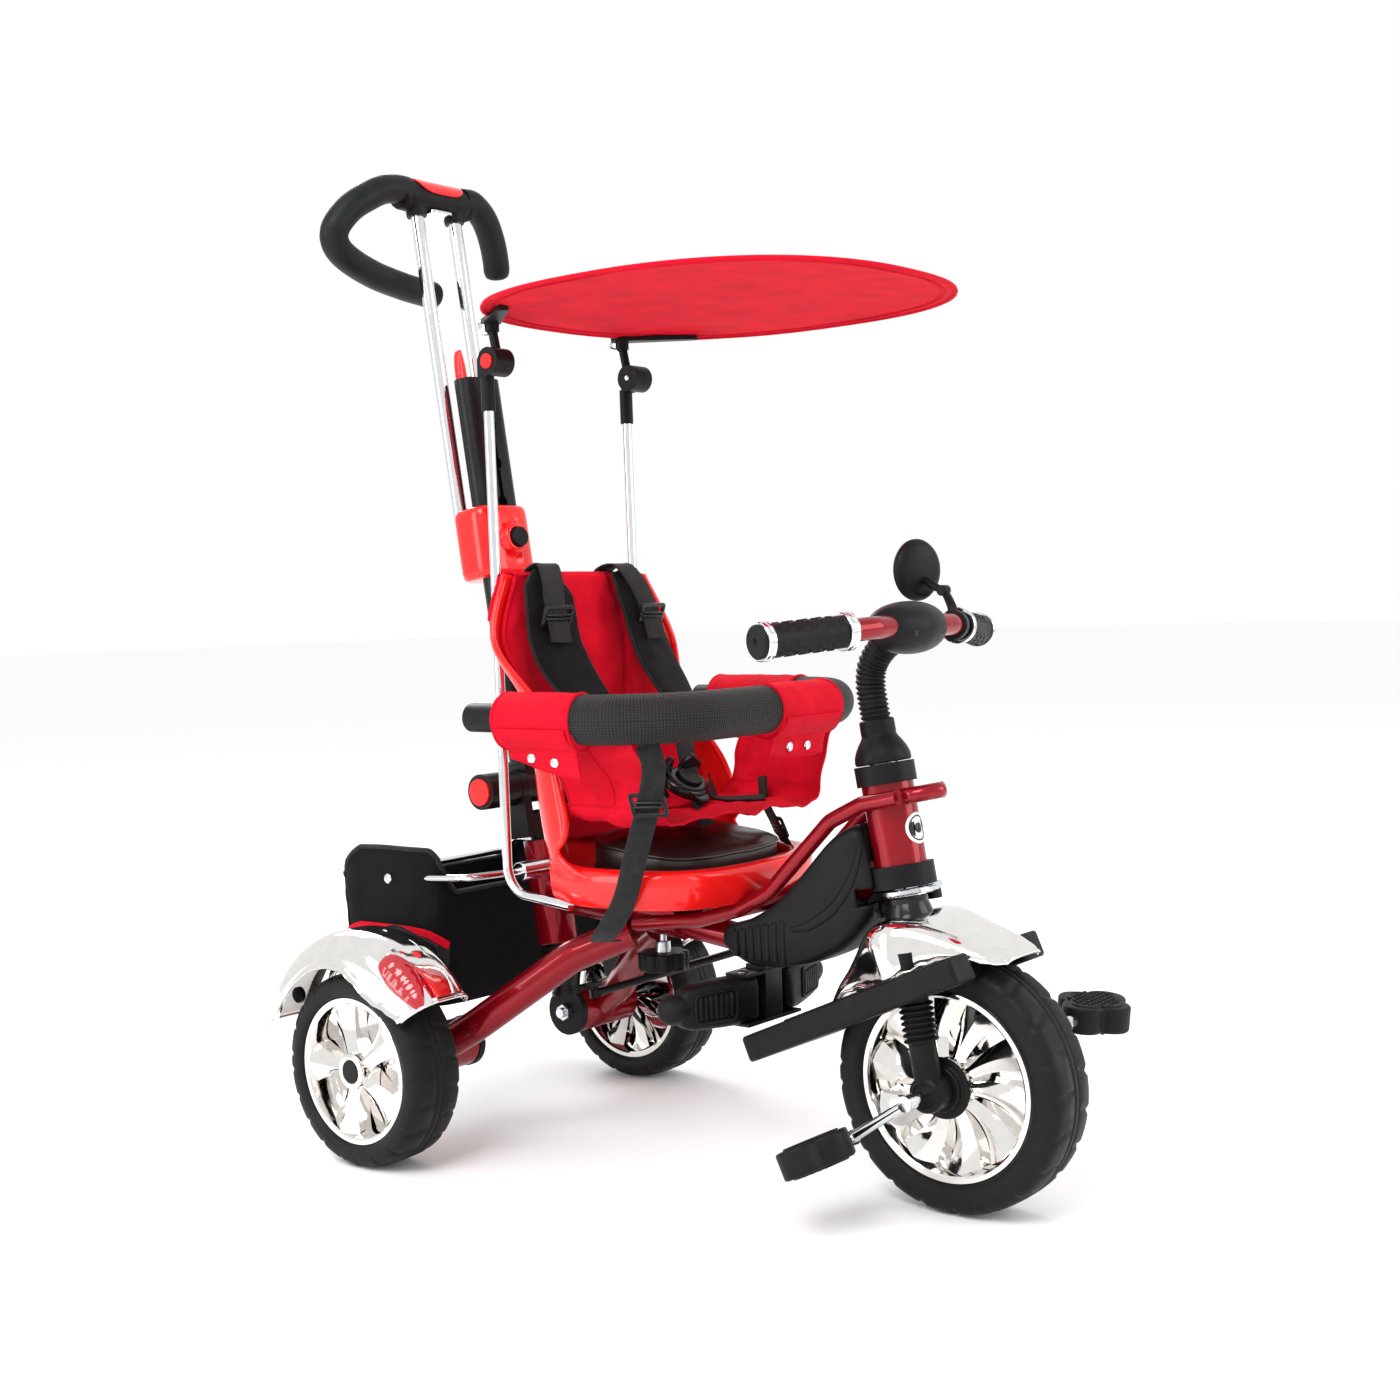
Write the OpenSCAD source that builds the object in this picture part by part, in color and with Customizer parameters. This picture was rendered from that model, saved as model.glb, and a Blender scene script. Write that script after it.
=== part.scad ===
// Children's tricycle with a steering push bar, canopy, guard hoop, harness and rear basket.
// It faces -Y, stands on z = 0, and is laid out from the rear axle line. +X is the child's left.

/* [Wheels] */
// Radius of the front wheel over the tyre
front_wheel_r = 125; // [110:1:130]
// Radius of each rear wheel over the tyre
rear_wheel_r = 105; // [95:1:110]
// Width of the tyres
tyre_w = 68; // [60:1:70]
// Distance from the front axle to the rear axle
wheelbase = 598.5; // [590:0.5:605]
// Middle of each rear tyre, from the centre line
rear_track_x = 222.5; // [220:0.5:226]

/* [Steering] */
// Rake of the head tube from the vertical
rake = 10; // [8:0.5:12]
// Outer radius of the head tube
head_r = 26; // [24:0.5:28]
// Radius of the steering tube that turns in the head tube
steerer_r = 14.3; // [13:0.1:15]
// Radial running clearance of the shafts in their bores
run_gap = 0.05; // [0.02:0.01:0.1]
// Length of the pedal cranks
crank_len = 80; // [70:1:85]
// Diameter of the crank rod
crank_d = 11; // [10:0.5:12]

/* [Push bar] */
// Backward lean of the push bar
bar_lean = 9; // [8:0.5:10]
// Height along the mast where it ends
mast_top = 476; // [460:1:490]
// Distance between the locking holes of the mast
hole_pitch = 45; // [40:1:48]

/* [Seat] */
// Thickness of the moulded seat shell
shell_t = 4; // [3:0.5:5]
// Half width of the guard hoop's tube
hoop_x = 188; // [184:1:192]

/* [Canopy] */
// Half width of the canopy
canopy_a = 222; // [200:1:230]
// Half length of the canopy
canopy_b = 238; // [220:1:245]
// Height of the canopy's underside
canopy_z = 905; // [895:1:915]

/* [Hidden] */

$fn = 48;
guard_tip_r = 152;
guard_tip_a = 14;
guard_front_r = 148;
guard_front_a = 144;
// The rear axle's place along Y puts the middle of the whole tricycle over the origin
axle_y = (wheelbase + front_wheel_r - guard_tip_r * cos(guard_tip_a)) / 2;
front_rim_r = 94;
rear_rim_r = 80;
steer_y = -536.5;
steer_z = 328;
bar_y = -40;
bar_z = 390;
arm_x = 50;
leg_x = 55;
leg_y = -25.8;
leg_foot_z = -210.7;
tube_x = 30;
tube_y = 27;
post_x = 113;
elbow_y = -112;
elbow_z = 857;
peg_x = 36;
peg_y = -362;
peg_sweep = 17;
knob_y = -226;
hub_r = 27.5;
axle_r = 6;
button_s = 285;
colour_frame = "#9c1020";
colour_red = "#e3202a";
colour_black = "#242426";
colour_chrome = "#d8dade";

// ---- helpers ----

// Everything is drawn from the rear axle line and moved into place here
module placed() translate([0, axle_y, 0]) children();

// Frame of the steering axis: +Z runs up the axis from the head tube's foot
module on_steer() translate([0, steer_y, steer_z]) rotate([-rake, 0, 0]) children();

// Frame of the push bar: +Z runs up the mast from the fold pin
module on_bar() translate([0, bar_y, bar_z]) rotate([-bar_lean, 0, 0]) children();

module both() {
    children();
    mirror([1, 0, 0]) children();
}

function unit(v) = v / norm(v);
function turn(a, b, c) = acos(min(1, max(-1, unit(b - a) * unit(c - b))));
function corner_cut(p, i, r) =
    i == 0 || i == len(p) - 1 ? 0 : r * tan(turn(p[i - 1], p[i], p[i + 1]) / 2);

// Straight round bar from point a to point b
module rod(a, b, d) {
    v = b - a;
    translate(a)
        rotate([0, acos(v.z / norm(v)), atan2(v.y, v.x)])
            cylinder(h = norm(v), d = d);
}

// Arc of a bent bar that rounds the corner b between a and c
module elbow(a, b, c, r, d) {
    u = unit(b - a);
    n = unit(cross(u, c - b));
    e = -cross(n, u);
    centre = b - u * r * tan(turn(a, b, c) / 2) - e * r;
    multmatrix([
        [e.x, u.x, n.x, centre.x], [e.y, u.y, n.y, centre.y], [e.z, u.z, n.z, centre.z], [0, 0, 0, 1]
    ])
        rotate_extrude(angle = turn(a, b, c)) translate([r, 0]) circle(d = d);
}

// Bar bent along a path, with the same radius at each inner corner
module bent_bar(p, r, d) {
    for (i = [0 : len(p) - 2]) {
        u = unit(p[i + 1] - p[i]);
        rod(p[i] + u * corner_cut(p, i, r), p[i + 1] - u * corner_cut(p, i + 1, r), d);
    }
    for (i = [1 : 1 : len(p) - 2]) elbow(p[i - 1], p[i], p[i + 1], r, d);
}

// Stations along a path with rounded corners, each [position, direction]
function corner_stops(a, b, c, r, n) =
    let(u = unit(b - a), e = -cross(unit(cross(u, c - b)), u), all = turn(a, b, c),
        centre = b - u * r * tan(all / 2) - e * r)
    [for (k = [0 : n]) let(f = all * k / n)
        [centre + r * (e * cos(f) + u * sin(f)), u * cos(f) - e * sin(f)]];
function path_stops(p, r, n) = concat(
    [[p[0], unit(p[1] - p[0])]],
    [for (i = [1 : 1 : len(p) - 2]) each corner_stops(p[i - 1], p[i], p[i + 1], r, n)],
    [[p[len(p) - 1], unit(p[len(p) - 1] - p[len(p) - 2])]]
);

// Bar swept along a path in any direction; side is a direction that the bar never runs along
module swept_bar(p, r, d, side, n = 5, sides = 16) {
    stops = path_stops(p, r, n);
    last = len(stops) - 1;
    ring = [for (s = stops) let(e = unit(cross(s[1], side)), g = cross(s[1], e))
        for (j = [0 : sides - 1]) let(a = 360 * j / sides) s[0] + (e * cos(a) + g * sin(a)) * d / 2];
    polyhedron(points = ring, faces = concat(
        [[for (j = [0 : sides - 1]) j], [for (j = [sides - 1 : -1 : 0]) last * sides + j]],
        [for (i = [0 : last - 1]) for (j = [0 : sides - 1])
            let(a = i * sides + j, b = i * sides + (j + 1) % sides) each
            [[a, a + sides, b], [b, a + sides, b + sides]]]
    ));
}

// Cylinder along X from x0 to x1
module x_rod(x0, x1, r) translate([x0, 0, 0]) rotate([0, 90, 0]) cylinder(h = x1 - x0, r = r);

// Extrudes a (Y, Z) outline along X from x0 to x1
module slab(x0, x1)
    translate([x0, 0, 0]) rotate([90, 0, 90]) linear_extrude(height = x1 - x0) children();

// Flat oval of width w and thickness t
module oval(w, t) {
    square([w - t, t], center = true);
    for (s = [-1, 1]) translate([s * (w - t) / 2, 0]) circle(d = t);
}

function arc_points(r0, r1, a0, a1, n) =
    [for (i = [0 : n]) let(f = i / n, r = r0 + (r1 - r0) * f, a = a0 + (a1 - a0) * f)
        [r * cos(a), r * sin(a)]];
function reversed(p) = [for (i = [len(p) - 1 : -1 : 0]) p[i]];

// ---- welded frame ----

module head_tube() color(colour_frame) placed() on_steer() difference() {
    translate([0, 0, -2]) cylinder(h = 88, r = head_r);
    translate([0, 0, -3]) cylinder(h = 90, r = steerer_r + 2);
}

rail_side = [
    [-33.6, -217, 249], [-33.6, -304, 261], [-33, -357, 276], [-31, -397, 298], [-30, -473, 374],
    [-31, -512, 393], [-34, -582, 407]
];
function mirrored(p) = [for (q = p) [-q.x, q.y, q.z]];

module rail_path() swept_bar(concat(rail_side, reversed(mirrored(rail_side))), 26, 16, [0, 0.5, 0.87]);

module main_tube_body() {
    rod([0, -74, 272], [0, -262, 256], 50);
    swept_bar([[0, -250, 250], [0, -334, 240], [0, -440, 264], [0, -508, 325]], 60, 30, [1, 0, 0]);
}

module rear_tube_body()
    both() swept_bar([[128, -8, 107], [118, -58, 138], [62, -148, 212], [24, -202, 238]], 60, 36, [0, 0, 1]);

module sleeve_outline(r) on_bar() translate([0, 0, -182]) cylinder(h = 120, r = r);

module frame_rails() color(colour_frame) placed() difference() {
    rail_path();
    on_steer() translate([0, 0, -2]) cylinder(h = 88, r = head_r);
}

module main_tube() color(colour_frame) placed() difference() {
    union() {
        main_tube_body();
        translate([-40, -290, 276]) cube([80, 98, 11.5]);
    }
    sleeve_outline(23);
    on_steer() translate([0, 0, -20]) cylinder(h = 100, r = head_r);
    on_steer() translate([0, 0, -18.1]) cylinder(h = 22.2, r = 32.6);
    translate([0, knob_y, 200]) cylinder(h = 100, r = 4 + run_gap);
}

module rear_fork() color(colour_frame) placed() difference() {
    union() {
        rear_tube_body();
        both() translate([0, 0, rear_wheel_r]) x_rod(90, 183, hub_r);
    }
    both() translate([0, 0, rear_wheel_r]) x_rod(80, 190, axle_r);
    main_tube_body();
}

module hub_discs() color(colour_black) placed() both() translate([0, 0, rear_wheel_r]) difference() {
    x_rod(82, 90, hub_r + 1);
    x_rod(81, 91, axle_r);
}

module rear_axles() color(colour_chrome) placed() both() translate([0, 0, rear_wheel_r]) {
    x_rod(70, 252, axle_r);
    difference() {
        rotate([0, 90, 0]) cylinder(h = 82, r = 10, $fn = 6);
        x_rod(-1, 75, 30);
    }
}

module column_sleeve() color(colour_red) placed() difference() {
    sleeve_outline(23);
    on_bar() translate([0, 0, -200]) cylinder(h = 160, r = steerer_r + run_gap);
}

module head_cups() color(colour_black) placed() on_steer() difference() {
    union() {
        translate([0, 0, -18]) cylinder(h = 22, r = 32.5);
        translate([0, 0, 84]) cylinder(h = 20, r = 30);
    }
    translate([0, 0, -2]) cylinder(h = 88, r = head_r);
    translate([0, 0, -20]) cylinder(h = 140, r = steerer_r + run_gap);
}

cover_outline = [
    [-334, 258], [-327, 237], [-366, 217], [-436, 224], [-497, 256], [-528, 310], [-524, 334],
    [-507, 376], [-480, 364], [-440, 322], [-400, 284], [-362, 264]
];

cover_middle = [-430, 285];
module cover_half() difference() {
    slab(0.2, 35) polygon(cover_outline);
    slab(0.1, 32) polygon([for (q = cover_outline) cover_middle + (q - cover_middle) * 0.94]);
    on_steer() translate([0, 0, -60]) cylinder(h = 200, r = 33.5);
    on_steer() translate([0, 0, -31]) cylinder(h = 16, r = 50);
    main_tube_body();
}

module frame_covers() color(colour_black) placed() both() cover_half();

module peg_bracket() color(colour_black) placed() {
    difference() {
        union() {
            for (z = [157.8, 209.2]) translate([-46, -377, z]) cube([92, 29, 3]);
            translate([-14, -376, 160]) cube([28, 26, 56.2]);
        }
        both() translate([peg_x, peg_y, 150]) cylinder(h = 80, r = 3);
        main_tube_body();
    }
    both() translate([peg_x, peg_y, 156]) cylinder(h = 58, r = 3);
}

// ---- seat: a bucket swept along a spine, each row [y, z, half width, rim depth] ----

seat_spine = [
    [-345, 300, 112, 8], [-300, 291, 140, 22], [-240, 288, 148, 32], [-186, 298, 150, 56],
    [-154, 338, 150, 74], [-138, 400, 150, 76], [-126, 480, 149, 70], [-116, 556, 136, 46],
    [-108, 627, 108, 16]
];
spine_n = len(seat_spine) - 1;

function spine_row(i) = seat_spine[min(spine_n, max(0, i))];
// Catmull-Rom curve through the rows, v from 0 at the front lip to 1 at the top of the back
function spine(v) =
    let(s = v * spine_n, i = min(spine_n - 1, floor(s)), f = s - i,
        a = spine_row(i - 1), b = spine_row(i), c = spine_row(i + 1), d = spine_row(i + 2))
    0.5 * (2 * b + (c - a) * f + (2 * a - 5 * b + 4 * c - d) * f * f
        + (3 * b - a - 3 * c + d) * f * f * f);
function spine_normal(v) =
    let(a = spine(max(0, v - 0.02)), b = spine(min(1, v + 0.02)))
    unit([0, a[1] - b[1], b[0] - a[0]]);
// Point of the bucket at v along the spine and u across it, t inside the outer skin
function seat_point(v, u, t) =
    let(s = spine(v), w = s[2] - t, a = 90 * u, n = spine_normal(v),
        x = w * sign(a) * pow(abs(sin(a)), 0.7), h = 1 - pow(abs(cos(a)), 0.7))
    [x, s[0], s[1]] + n * (t + (s[3] - t) * h);

// Closed slab of the bucket between depths t0 and t1
module seat_patch(v0, v1, u0, u1, nv, nu, t0, t1) {
    skin = [for (t = [t0, t1]) for (i = [0 : nv]) for (j = [0 : nu])
        seat_point(v0 + (v1 - v0) * i / nv, u0 + (u1 - u0) * j / nu, t)];
    m = nu + 1;
    k = m * (nv + 1);
    faces = concat(
        [for (i = [0 : nv - 1]) for (j = [0 : nu - 1]) let(a = i * m + j) each
            [[a, a + 1, a + m + 1], [a, a + m + 1, a + m]]],
        [for (i = [0 : nv - 1]) for (j = [0 : nu - 1]) let(a = k + i * m + j) each
            [[a, a + m + 1, a + 1], [a, a + m, a + m + 1]]],
        [for (j = [0 : nu - 1]) for (e = [0, nv]) let(a = e * m + j) each
            e == 0 ? [[a, k + a + 1, a + 1], [a, k + a, k + a + 1]]
                : [[a, a + 1, k + a + 1], [a, k + a + 1, k + a]]],
        [for (i = [0 : nv - 1]) for (e = [0, nu]) let(a = i * m + e) each
            e == 0 ? [[a, a + m, k + a + m], [a, k + a + m, k + a]]
                : [[a, k + a + m, a + m], [a, k + a, k + a + m]]]
    );
    polyhedron(points = skin, faces = faces);
}

module seat_shell() color(colour_red) placed() seat_patch(0, 1, -1, 1, 24, 20, 0, shell_t);

function superellipse(a, b, e, n) =
    [for (i = [0 : n - 1]) let(c = cos(360 * i / n), s = sin(360 * i / n))
        [a * sign(c) * pow(abs(c), 2 / e), b * sign(s) * pow(abs(s), 2 / e)]];

module seat_cushion() color("#1b1b1d") placed()
    translate([0, -262, 318]) rotate([7, 0, 0])
        linear_extrude(height = 35) polygon(superellipse(104, 72, 3.2, 40));

module backrest_cover() color("#d81830") placed()
    seat_patch(0.62, 0.985, -0.72, 0.72, 10, 12, shell_t + 0.3, shell_t + 9);

buckle_at = [0, -262, 396];
buckle_tilt = 35;

module strap(a, b, w, t) hull() for (p = [a, b]) translate(p) cube([w, 6, t], center = true);

module harness() color(colour_black) placed() {
    both() hull() {
        translate([64, -142, 604]) cube([56, 10, 8], center = true);
        translate([68, -192, 506]) cube([50, 10, 8], center = true);
    }
    both() strap([62, -192, 496], [18, -252, 418], 22, 4);
    both() strap([26, -252, 396], [96, -222, 392], 8, 20);
    difference() {
        translate(buckle_at) rotate([buckle_tilt, 0, 0]) cylinder(h = 13, r = 24);
        translate(buckle_at) rotate([buckle_tilt, 0, 0]) translate([0, 0, 7]) cylinder(h = 9, r = 13.2);
    }
}

module buckle_button() color("#303034") placed()
    translate(buckle_at) rotate([buckle_tilt, 0, 0]) translate([0, 0, 10]) cylinder(h = 6, r = 13);

module seat_liner() color("#d81830") placed() translate([0, -222, 0]) rotate([90, 0, 0])
    linear_extrude(height = 108) polygon(concat(
        [[-168, 450], [-130, 373], [130, 373], [168, 450]], [[164, 450], [127, 377], [-127, 377], [-164, 450]]
    ));

module seat_knob() color(colour_black) placed() translate([0, knob_y, 195]) {
    linear_extrude(height = 20) {
        circle(r = 24);
        for (i = [0 : 7]) rotate(45 * i) translate([23, 0]) circle(r = 5, $fn = 24);
    }
    translate([0, 0, 20]) cylinder(h = 12, r = 8);
    translate([0, 0, 32]) cylinder(h = 55, r = 4);
}

// ---- guard hoop ----

hoop_z = 482;
hoop_path = [
    [-hoop_x, -150, hoop_z], [-hoop_x, -372, hoop_z], [hoop_x, -372, hoop_z], [hoop_x, -150, hoop_z]
];

module hoop_sockets() color(colour_black) placed() both() difference() {
    union() {
        translate([hoop_x, -205, hoop_z]) rotate([-90, 0, 0]) cylinder(h = 70, r = 15);
        translate([146, -196, hoop_z - 10]) cube([hoop_x - 152, 26, 20]);
    }
    translate([hoop_x, -210, hoop_z]) rotate([-90, 0, 0]) cylinder(h = 68, r = 10 + run_gap);
}

module hoop_tube() color(colour_chrome) placed() bent_bar(hoop_path, 95, 20);

module hoop_padding() color("#d81830") placed() difference() {
    bent_bar([for (p = hoop_path) [p.x, min(p.y, -208.5), p.z]], 95, 54);
    bent_bar(hoop_path, 95, 20);
    both() translate([hoop_x, -245, hoop_z]) rotate([-90, 0, 0]) cylinder(h = 100, r = 16);
}

// ---- canopy ----

module canopy_posts() color(colour_chrome) placed()
    both() swept_bar([[post_x, -98, 828], [post_x, -104, 286], [post_x, -228, 276], [40, -228, 280]],
        32, 11, [1, 1, 1], sides = 12);

module elbow_drum(x0, x1) translate([0, elbow_y, elbow_z]) x_rod(x0, x1, 15);

module lower_elbows() color(colour_black) placed() both() difference() {
    union() {
        elbow_drum(post_x + 0.3, post_x + 14);
        rod([post_x, -97.8, 845], [post_x, -98.2, 806], 15);
        translate([post_x + 0.3, -105.5, 842]) cube([7.2, 15, 14]);
        elbow_drum(post_x - 12, post_x + 1);
    }
    difference() {
        elbow_drum(post_x - 14, post_x + 0.3);
        elbow_drum_pin(3);
    }
    rod([post_x, -98, 828], [post_x, -98.5, 780], 11);
    translate([0, elbow_y, elbow_z]) x_rod(post_x + 7, post_x + 15, 8.1);
}

module elbow_drum_pin(r) translate([0, elbow_y, elbow_z]) x_rod(post_x - 12, post_x + 2, r);

module elbow_button() translate([0, elbow_y, elbow_z]) x_rod(post_x + 10, post_x + 16, 8);
module elbow_button_near() color(colour_red) placed() mirror([1, 0, 0]) elbow_button();
module elbow_button_far() color(colour_red) placed() elbow_button();

module canopy_arms() color(colour_black) placed() both() difference() {
    union() {
        elbow_drum(post_x - 13, post_x);
        rod([post_x - 7, elbow_y + 5, elbow_z + 8], [post_x - 7, elbow_y + 12, canopy_z - 8], 10);
        translate([post_x - 7, elbow_y + 12, canopy_z - 14]) cylinder(h = 10, r = 8);
        hull() {
            translate([post_x - 8, -98, canopy_z - 5]) cylinder(h = 4.7, r = 11, $fn = 32);
            translate([post_x + 42, -166, canopy_z - 5]) cylinder(h = 4.7, r = 6, $fn = 32);
        }
    }
    elbow_drum_pin(3 + run_gap);
}

module canopy() color("#d81830") placed() translate([0, -326, canopy_z])
    linear_extrude(height = 6) polygon(superellipse(canopy_a, canopy_b, 2.4, 64));

// ---- rear wheels, mudguards and basket ----

// Tyre profile swept round the axle: wr wheel radius, rr rim radius
module tyre_ring(wr, rr, w) rotate([0, 90, 0]) rotate_extrude($fn = 96) polygon([
    [rr, -w / 2 + 4], [rr + 8, -w / 2], [wr - 12, -w / 2], [wr - 3, -w / 2 + 5], [wr, -w / 4],
    [wr, w / 4], [wr - 3, w / 2 - 5], [wr - 12, w / 2], [rr + 8, w / 2], [rr, w / 2 - 4]
]);

// Rim barrel with a hub and count spokes; bore is the axle hole's radius
module spoked_rim(rr, w, hub, bore, count, spoke_w) rotate([0, 90, 0]) difference() {
    union() {
        difference() {
            cylinder(h = w, r = rr, center = true, $fn = 96);
            cylinder(h = w + 2, r = rr - 7, center = true, $fn = 96);
        }
        cylinder(h = w, r = hub, center = true);
        for (i = [0 : count - 1]) rotate(360 * i / count)
            translate([hub - 2, -spoke_w / 2, -w / 2 + 6]) cube([rr - 2 - hub, spoke_w, w - 12]);
    }
    cylinder(h = w + 4, r = bore, center = true);
}

module rear_tyre() translate([rear_track_x, 0, rear_wheel_r]) tyre_ring(rear_wheel_r, rear_rim_r, tyre_w);
module rear_rim() translate([rear_track_x, 0, rear_wheel_r]) {
    spoked_rim(rear_rim_r, tyre_w - 8, 18, axle_r + run_gap, 5, 22);
    difference() {
        x_rod(tyre_w / 2 - 4, tyre_w / 2, 17);
        x_rod(tyre_w / 2 - 5, tyre_w / 2 - 3.5, axle_r + run_gap);
    }
}

module rear_tyre_far() color("#2a2a2c") placed() rear_tyre();
module rear_rim_far() color(colour_chrome) placed() rear_rim();
module rear_tyre_near() color("#2a2a2c") placed() mirror([1, 0, 0]) rear_tyre();
module rear_rim_near() color(colour_chrome) placed() mirror([1, 0, 0]) rear_rim();

module guard_band(t)
    polygon(concat(
        arc_points(guard_tip_r, guard_front_r, guard_tip_a, guard_front_a, 24),
        reversed(arc_points(guard_tip_r - t, guard_front_r - t, guard_tip_a, guard_front_a, 24))
    ));

module mudguards() color(colour_chrome) placed() both() translate([0, 0, rear_wheel_r]) {
    slab(183.5, 262) guard_band(3);
    slab(259, 262) polygon(concat(
        arc_points(guard_tip_r - 1, guard_front_r - 1, guard_tip_a, guard_front_a, 24),
        reversed(arc_points(122, 100, 19, guard_front_a - 10, 20))
    ));
    difference() {
        slab(183.5, 186) polygon([[-70, 130], [-16, 0], [16, 0], [70, 131], [0, 148.5]]);
        x_rod(180, 190, axle_r);
    }
}

ear_outline = [
    [-50, 153], [-58, 215], [-58, 316], [-46, 331], [0, 333], [40, 322], [90, 326], [138, 318],
    [146, 300], [144, 230], [138, 153]
];

module basket_bag() color("#1f1f21") placed() {
    both() slab(146, 150) polygon(ear_outline);
    slab(-146, 146) polygon([
        [-18, 153], [-24, 280], [-20, 280], [-14, 157], [134, 157], [140, 285], [144, 285], [138, 153]
    ]);
}

module basket_rail() color(colour_chrome) placed() {
    swept_bar([[-60, -76, 300], [-140, -64, 302], [-140, 130, 290], [140, 130, 290], [140, -64, 302],
        [60, -76, 300]], 14, 8, [0, 0, 1], sides = 10);
    both() difference() {
        translate([22, -76, 300]) x_rod(0, 46, 11);
        sleeve_outline(23);
    }
}

// ---- steering group ----

stem_path = [[0, -515.5, 448], [0, -492, 536], [0, -556, 566]];
bar_path = [[-197, -515, 557], [-70, -556, 566], [70, -556, 566], [197, -515, 557]];

module bar_body(d) swept_bar(bar_path, 40, d, [0, 0, 1]);
module stem_body(d) swept_bar(stem_path, 42, d, [1, 0, 0]);

module steerer() color(colour_chrome) placed() difference() {
    union() {
        on_steer() translate([0, 0, -60]) cylinder(h = 192, r = steerer_r);
        stem_body(20);
    }
    bar_body(22);
}

module stem_gaiter() color(colour_black) placed() difference() {
    union() {
        on_steer() translate([0, 0, 104.6]) cylinder(h = 16, r1 = 28, r2 = 25);
        on_steer() translate([0, 0, 120.6]) cylinder(h = 14, r1 = 25, r2 = 18);
        difference() {
            stem_body(29);
            on_steer() translate([0, 0, 90]) cylinder(h = 20, r = 40);
        }
    }
    on_steer() translate([0, 0, 100]) cylinder(h = 32, r = steerer_r);
    stem_body(20);
    translate([0, -552, 564]) x_rod(-60, 60, 26);
    on_steer() translate([0, 0, 80]) cylinder(h = 24.5, r = 40);
}

module handlebar() color(colour_frame) placed() bar_body(22);

module bar_cover() color(colour_black) placed() difference() {
    union() {
        translate([0, -552, 564]) rotate([0, 90, 0]) rotate_extrude()
            polygon(concat([for (a = [-90 : 10 : 90]) [26 * pow(cos(a), 0.75), 52 * sin(a)]]));
        translate([84, -551.5, 565]) rotate([0, 90, 18]) cylinder(h = 12, r = 15, center = true);
        rod([84, -549, 577], [96, -536, 596], 8);
    }
    bar_body(22);
    stem_body(20);
    translate([96, -533, 600]) x_rod(-12, 12, 6.3);
}

module grip_body() {
    u = unit(bar_path[3] - bar_path[2]);
    rod(bar_path[3] - u * 105, bar_path[3] + u * 3, 34);
    for (s = [-104, -7]) rod(bar_path[3] + u * s, bar_path[3] + u * (s + 9), 37);
}

module grips() color(colour_black) placed() difference() {
    both() grip_body();
    bar_body(22);
}

module fork_core() {
    translate([-68, -38, -76]) cube([136, 54, 16]);
    for (s = [-1, 1]) translate([s * leg_x, leg_y, leg_foot_z + 12]) cylinder(h = 138, r = 13);
}

module fork() color(colour_black) placed() on_steer() difference() {
    union() {
        fork_core();
        translate([0, 0, -60]) cylinder(h = 33, r1 = 26, r2 = 20);
        both() translate([0, leg_y, leg_foot_z]) x_rod(42, 68, 18);
        for (s = [-1, 1]) for (i = [0 : 5]) translate([s * leg_x, leg_y, -130 - 6 * i])
            cylinder(h = 3.5, r = 17);
    }
    translate([0, 0, -60]) cylinder(h = 40, r = steerer_r);
    translate([0, leg_y, leg_foot_z]) x_rod(-80, 80, crank_d / 2 + run_gap);
}

module steering_arm() color(colour_chrome) placed() on_steer() difference() {
    union() {
        translate([0, 0, -26]) cylinder(h = 6, r = 24);
        translate([0, -10, -26]) cube([arm_x, 20, 6]);
        translate([arm_x, 0, -26]) cylinder(h = 6, r = 10);
        translate([-8, -34, -25]) cube([16, 14, 4]);
    }
    translate([0, 0, -30]) cylinder(h = 14, r = steerer_r);
    translate([arm_x, 0, -30]) cylinder(h = 14, r = 5.2);
}

module front_fender() color(colour_chrome) placed() difference() {
    union() {
        translate([0, -wheelbase, front_wheel_r]) slab(-41, 41) polygon(concat(
            arc_points(140, 136, 28, 97, 18), [[-50, 139], [-80, 142], [-80, 139], [-50, 136]],
            reversed(arc_points(137, 133, 28, 97, 18))
        ));
        translate([0, -wheelbase, front_wheel_r]) slab(-45, 45)
            polygon([[-30, 136.5], [-50, 139.5], [-82, 142], [-82, 139], [-50, 136], [-30, 133]]);
        difference() {
            on_steer() translate([-72, -42, -83]) cube([144, 62, 27]);
            on_steer() translate([-69, -39, -93]) cube([138, 56, 34]);
        }
    }
    on_steer() fork_core();
    on_steer() translate([0, 0, -61]) cylinder(h = 33, r = 26);
}

plate_slope = 23.5;
module foot_plate() color(colour_black) placed() difference() {
    translate([0, -638, 265]) rotate([-plate_slope, 0, 0]) difference() {
        translate([0, 0, -28]) linear_extrude(height = 28) difference() {
            union() {
                translate([-85, 10]) square([170, 242]);
                translate([-60, 10]) square([120, 267]);
                for (s = [-1, 1]) translate([s * 60, 252]) circle(r = 25);
                for (s = [-1, 1]) translate([s * 75, 10]) circle(r = 10);
                for (s = [-1, 1]) translate([s * 65.5 - 10, 0]) square([20, 20]);
                for (s = [-1, 1]) translate([s * 56.5, 10]) circle(r = 10);
            }
            translate([-46.5, -5]) square([93, 174]);
            translate([0, 169]) circle(r = 46.5);
        }
        for (s = [-1, 1]) translate([s * 66 - 14, 30, -4]) cube([28, 200, 5]);
    }
    on_steer() for (s = [-1, 1]) translate([s * leg_x, leg_y, -200]) {
        cylinder(h = 140, r = 13);
        cylinder(h = 76, r = 17.2);
    }
}

mirror_hinge = [96, -533, 600];
module mirror_head() color(colour_black) placed() {
    translate(mirror_hinge) x_rod(-5, 5, 6);
    rod(mirror_hinge, [104, -506, 614], 7);
    translate([104, -498, 622]) rotate([90, 0, 12]) cylinder(h = 12, r1 = 32, r2 = 26, center = true);
}

// ---- front wheel and pedals ----

front_hub_at = [0, -wheelbase, front_wheel_r];
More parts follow.
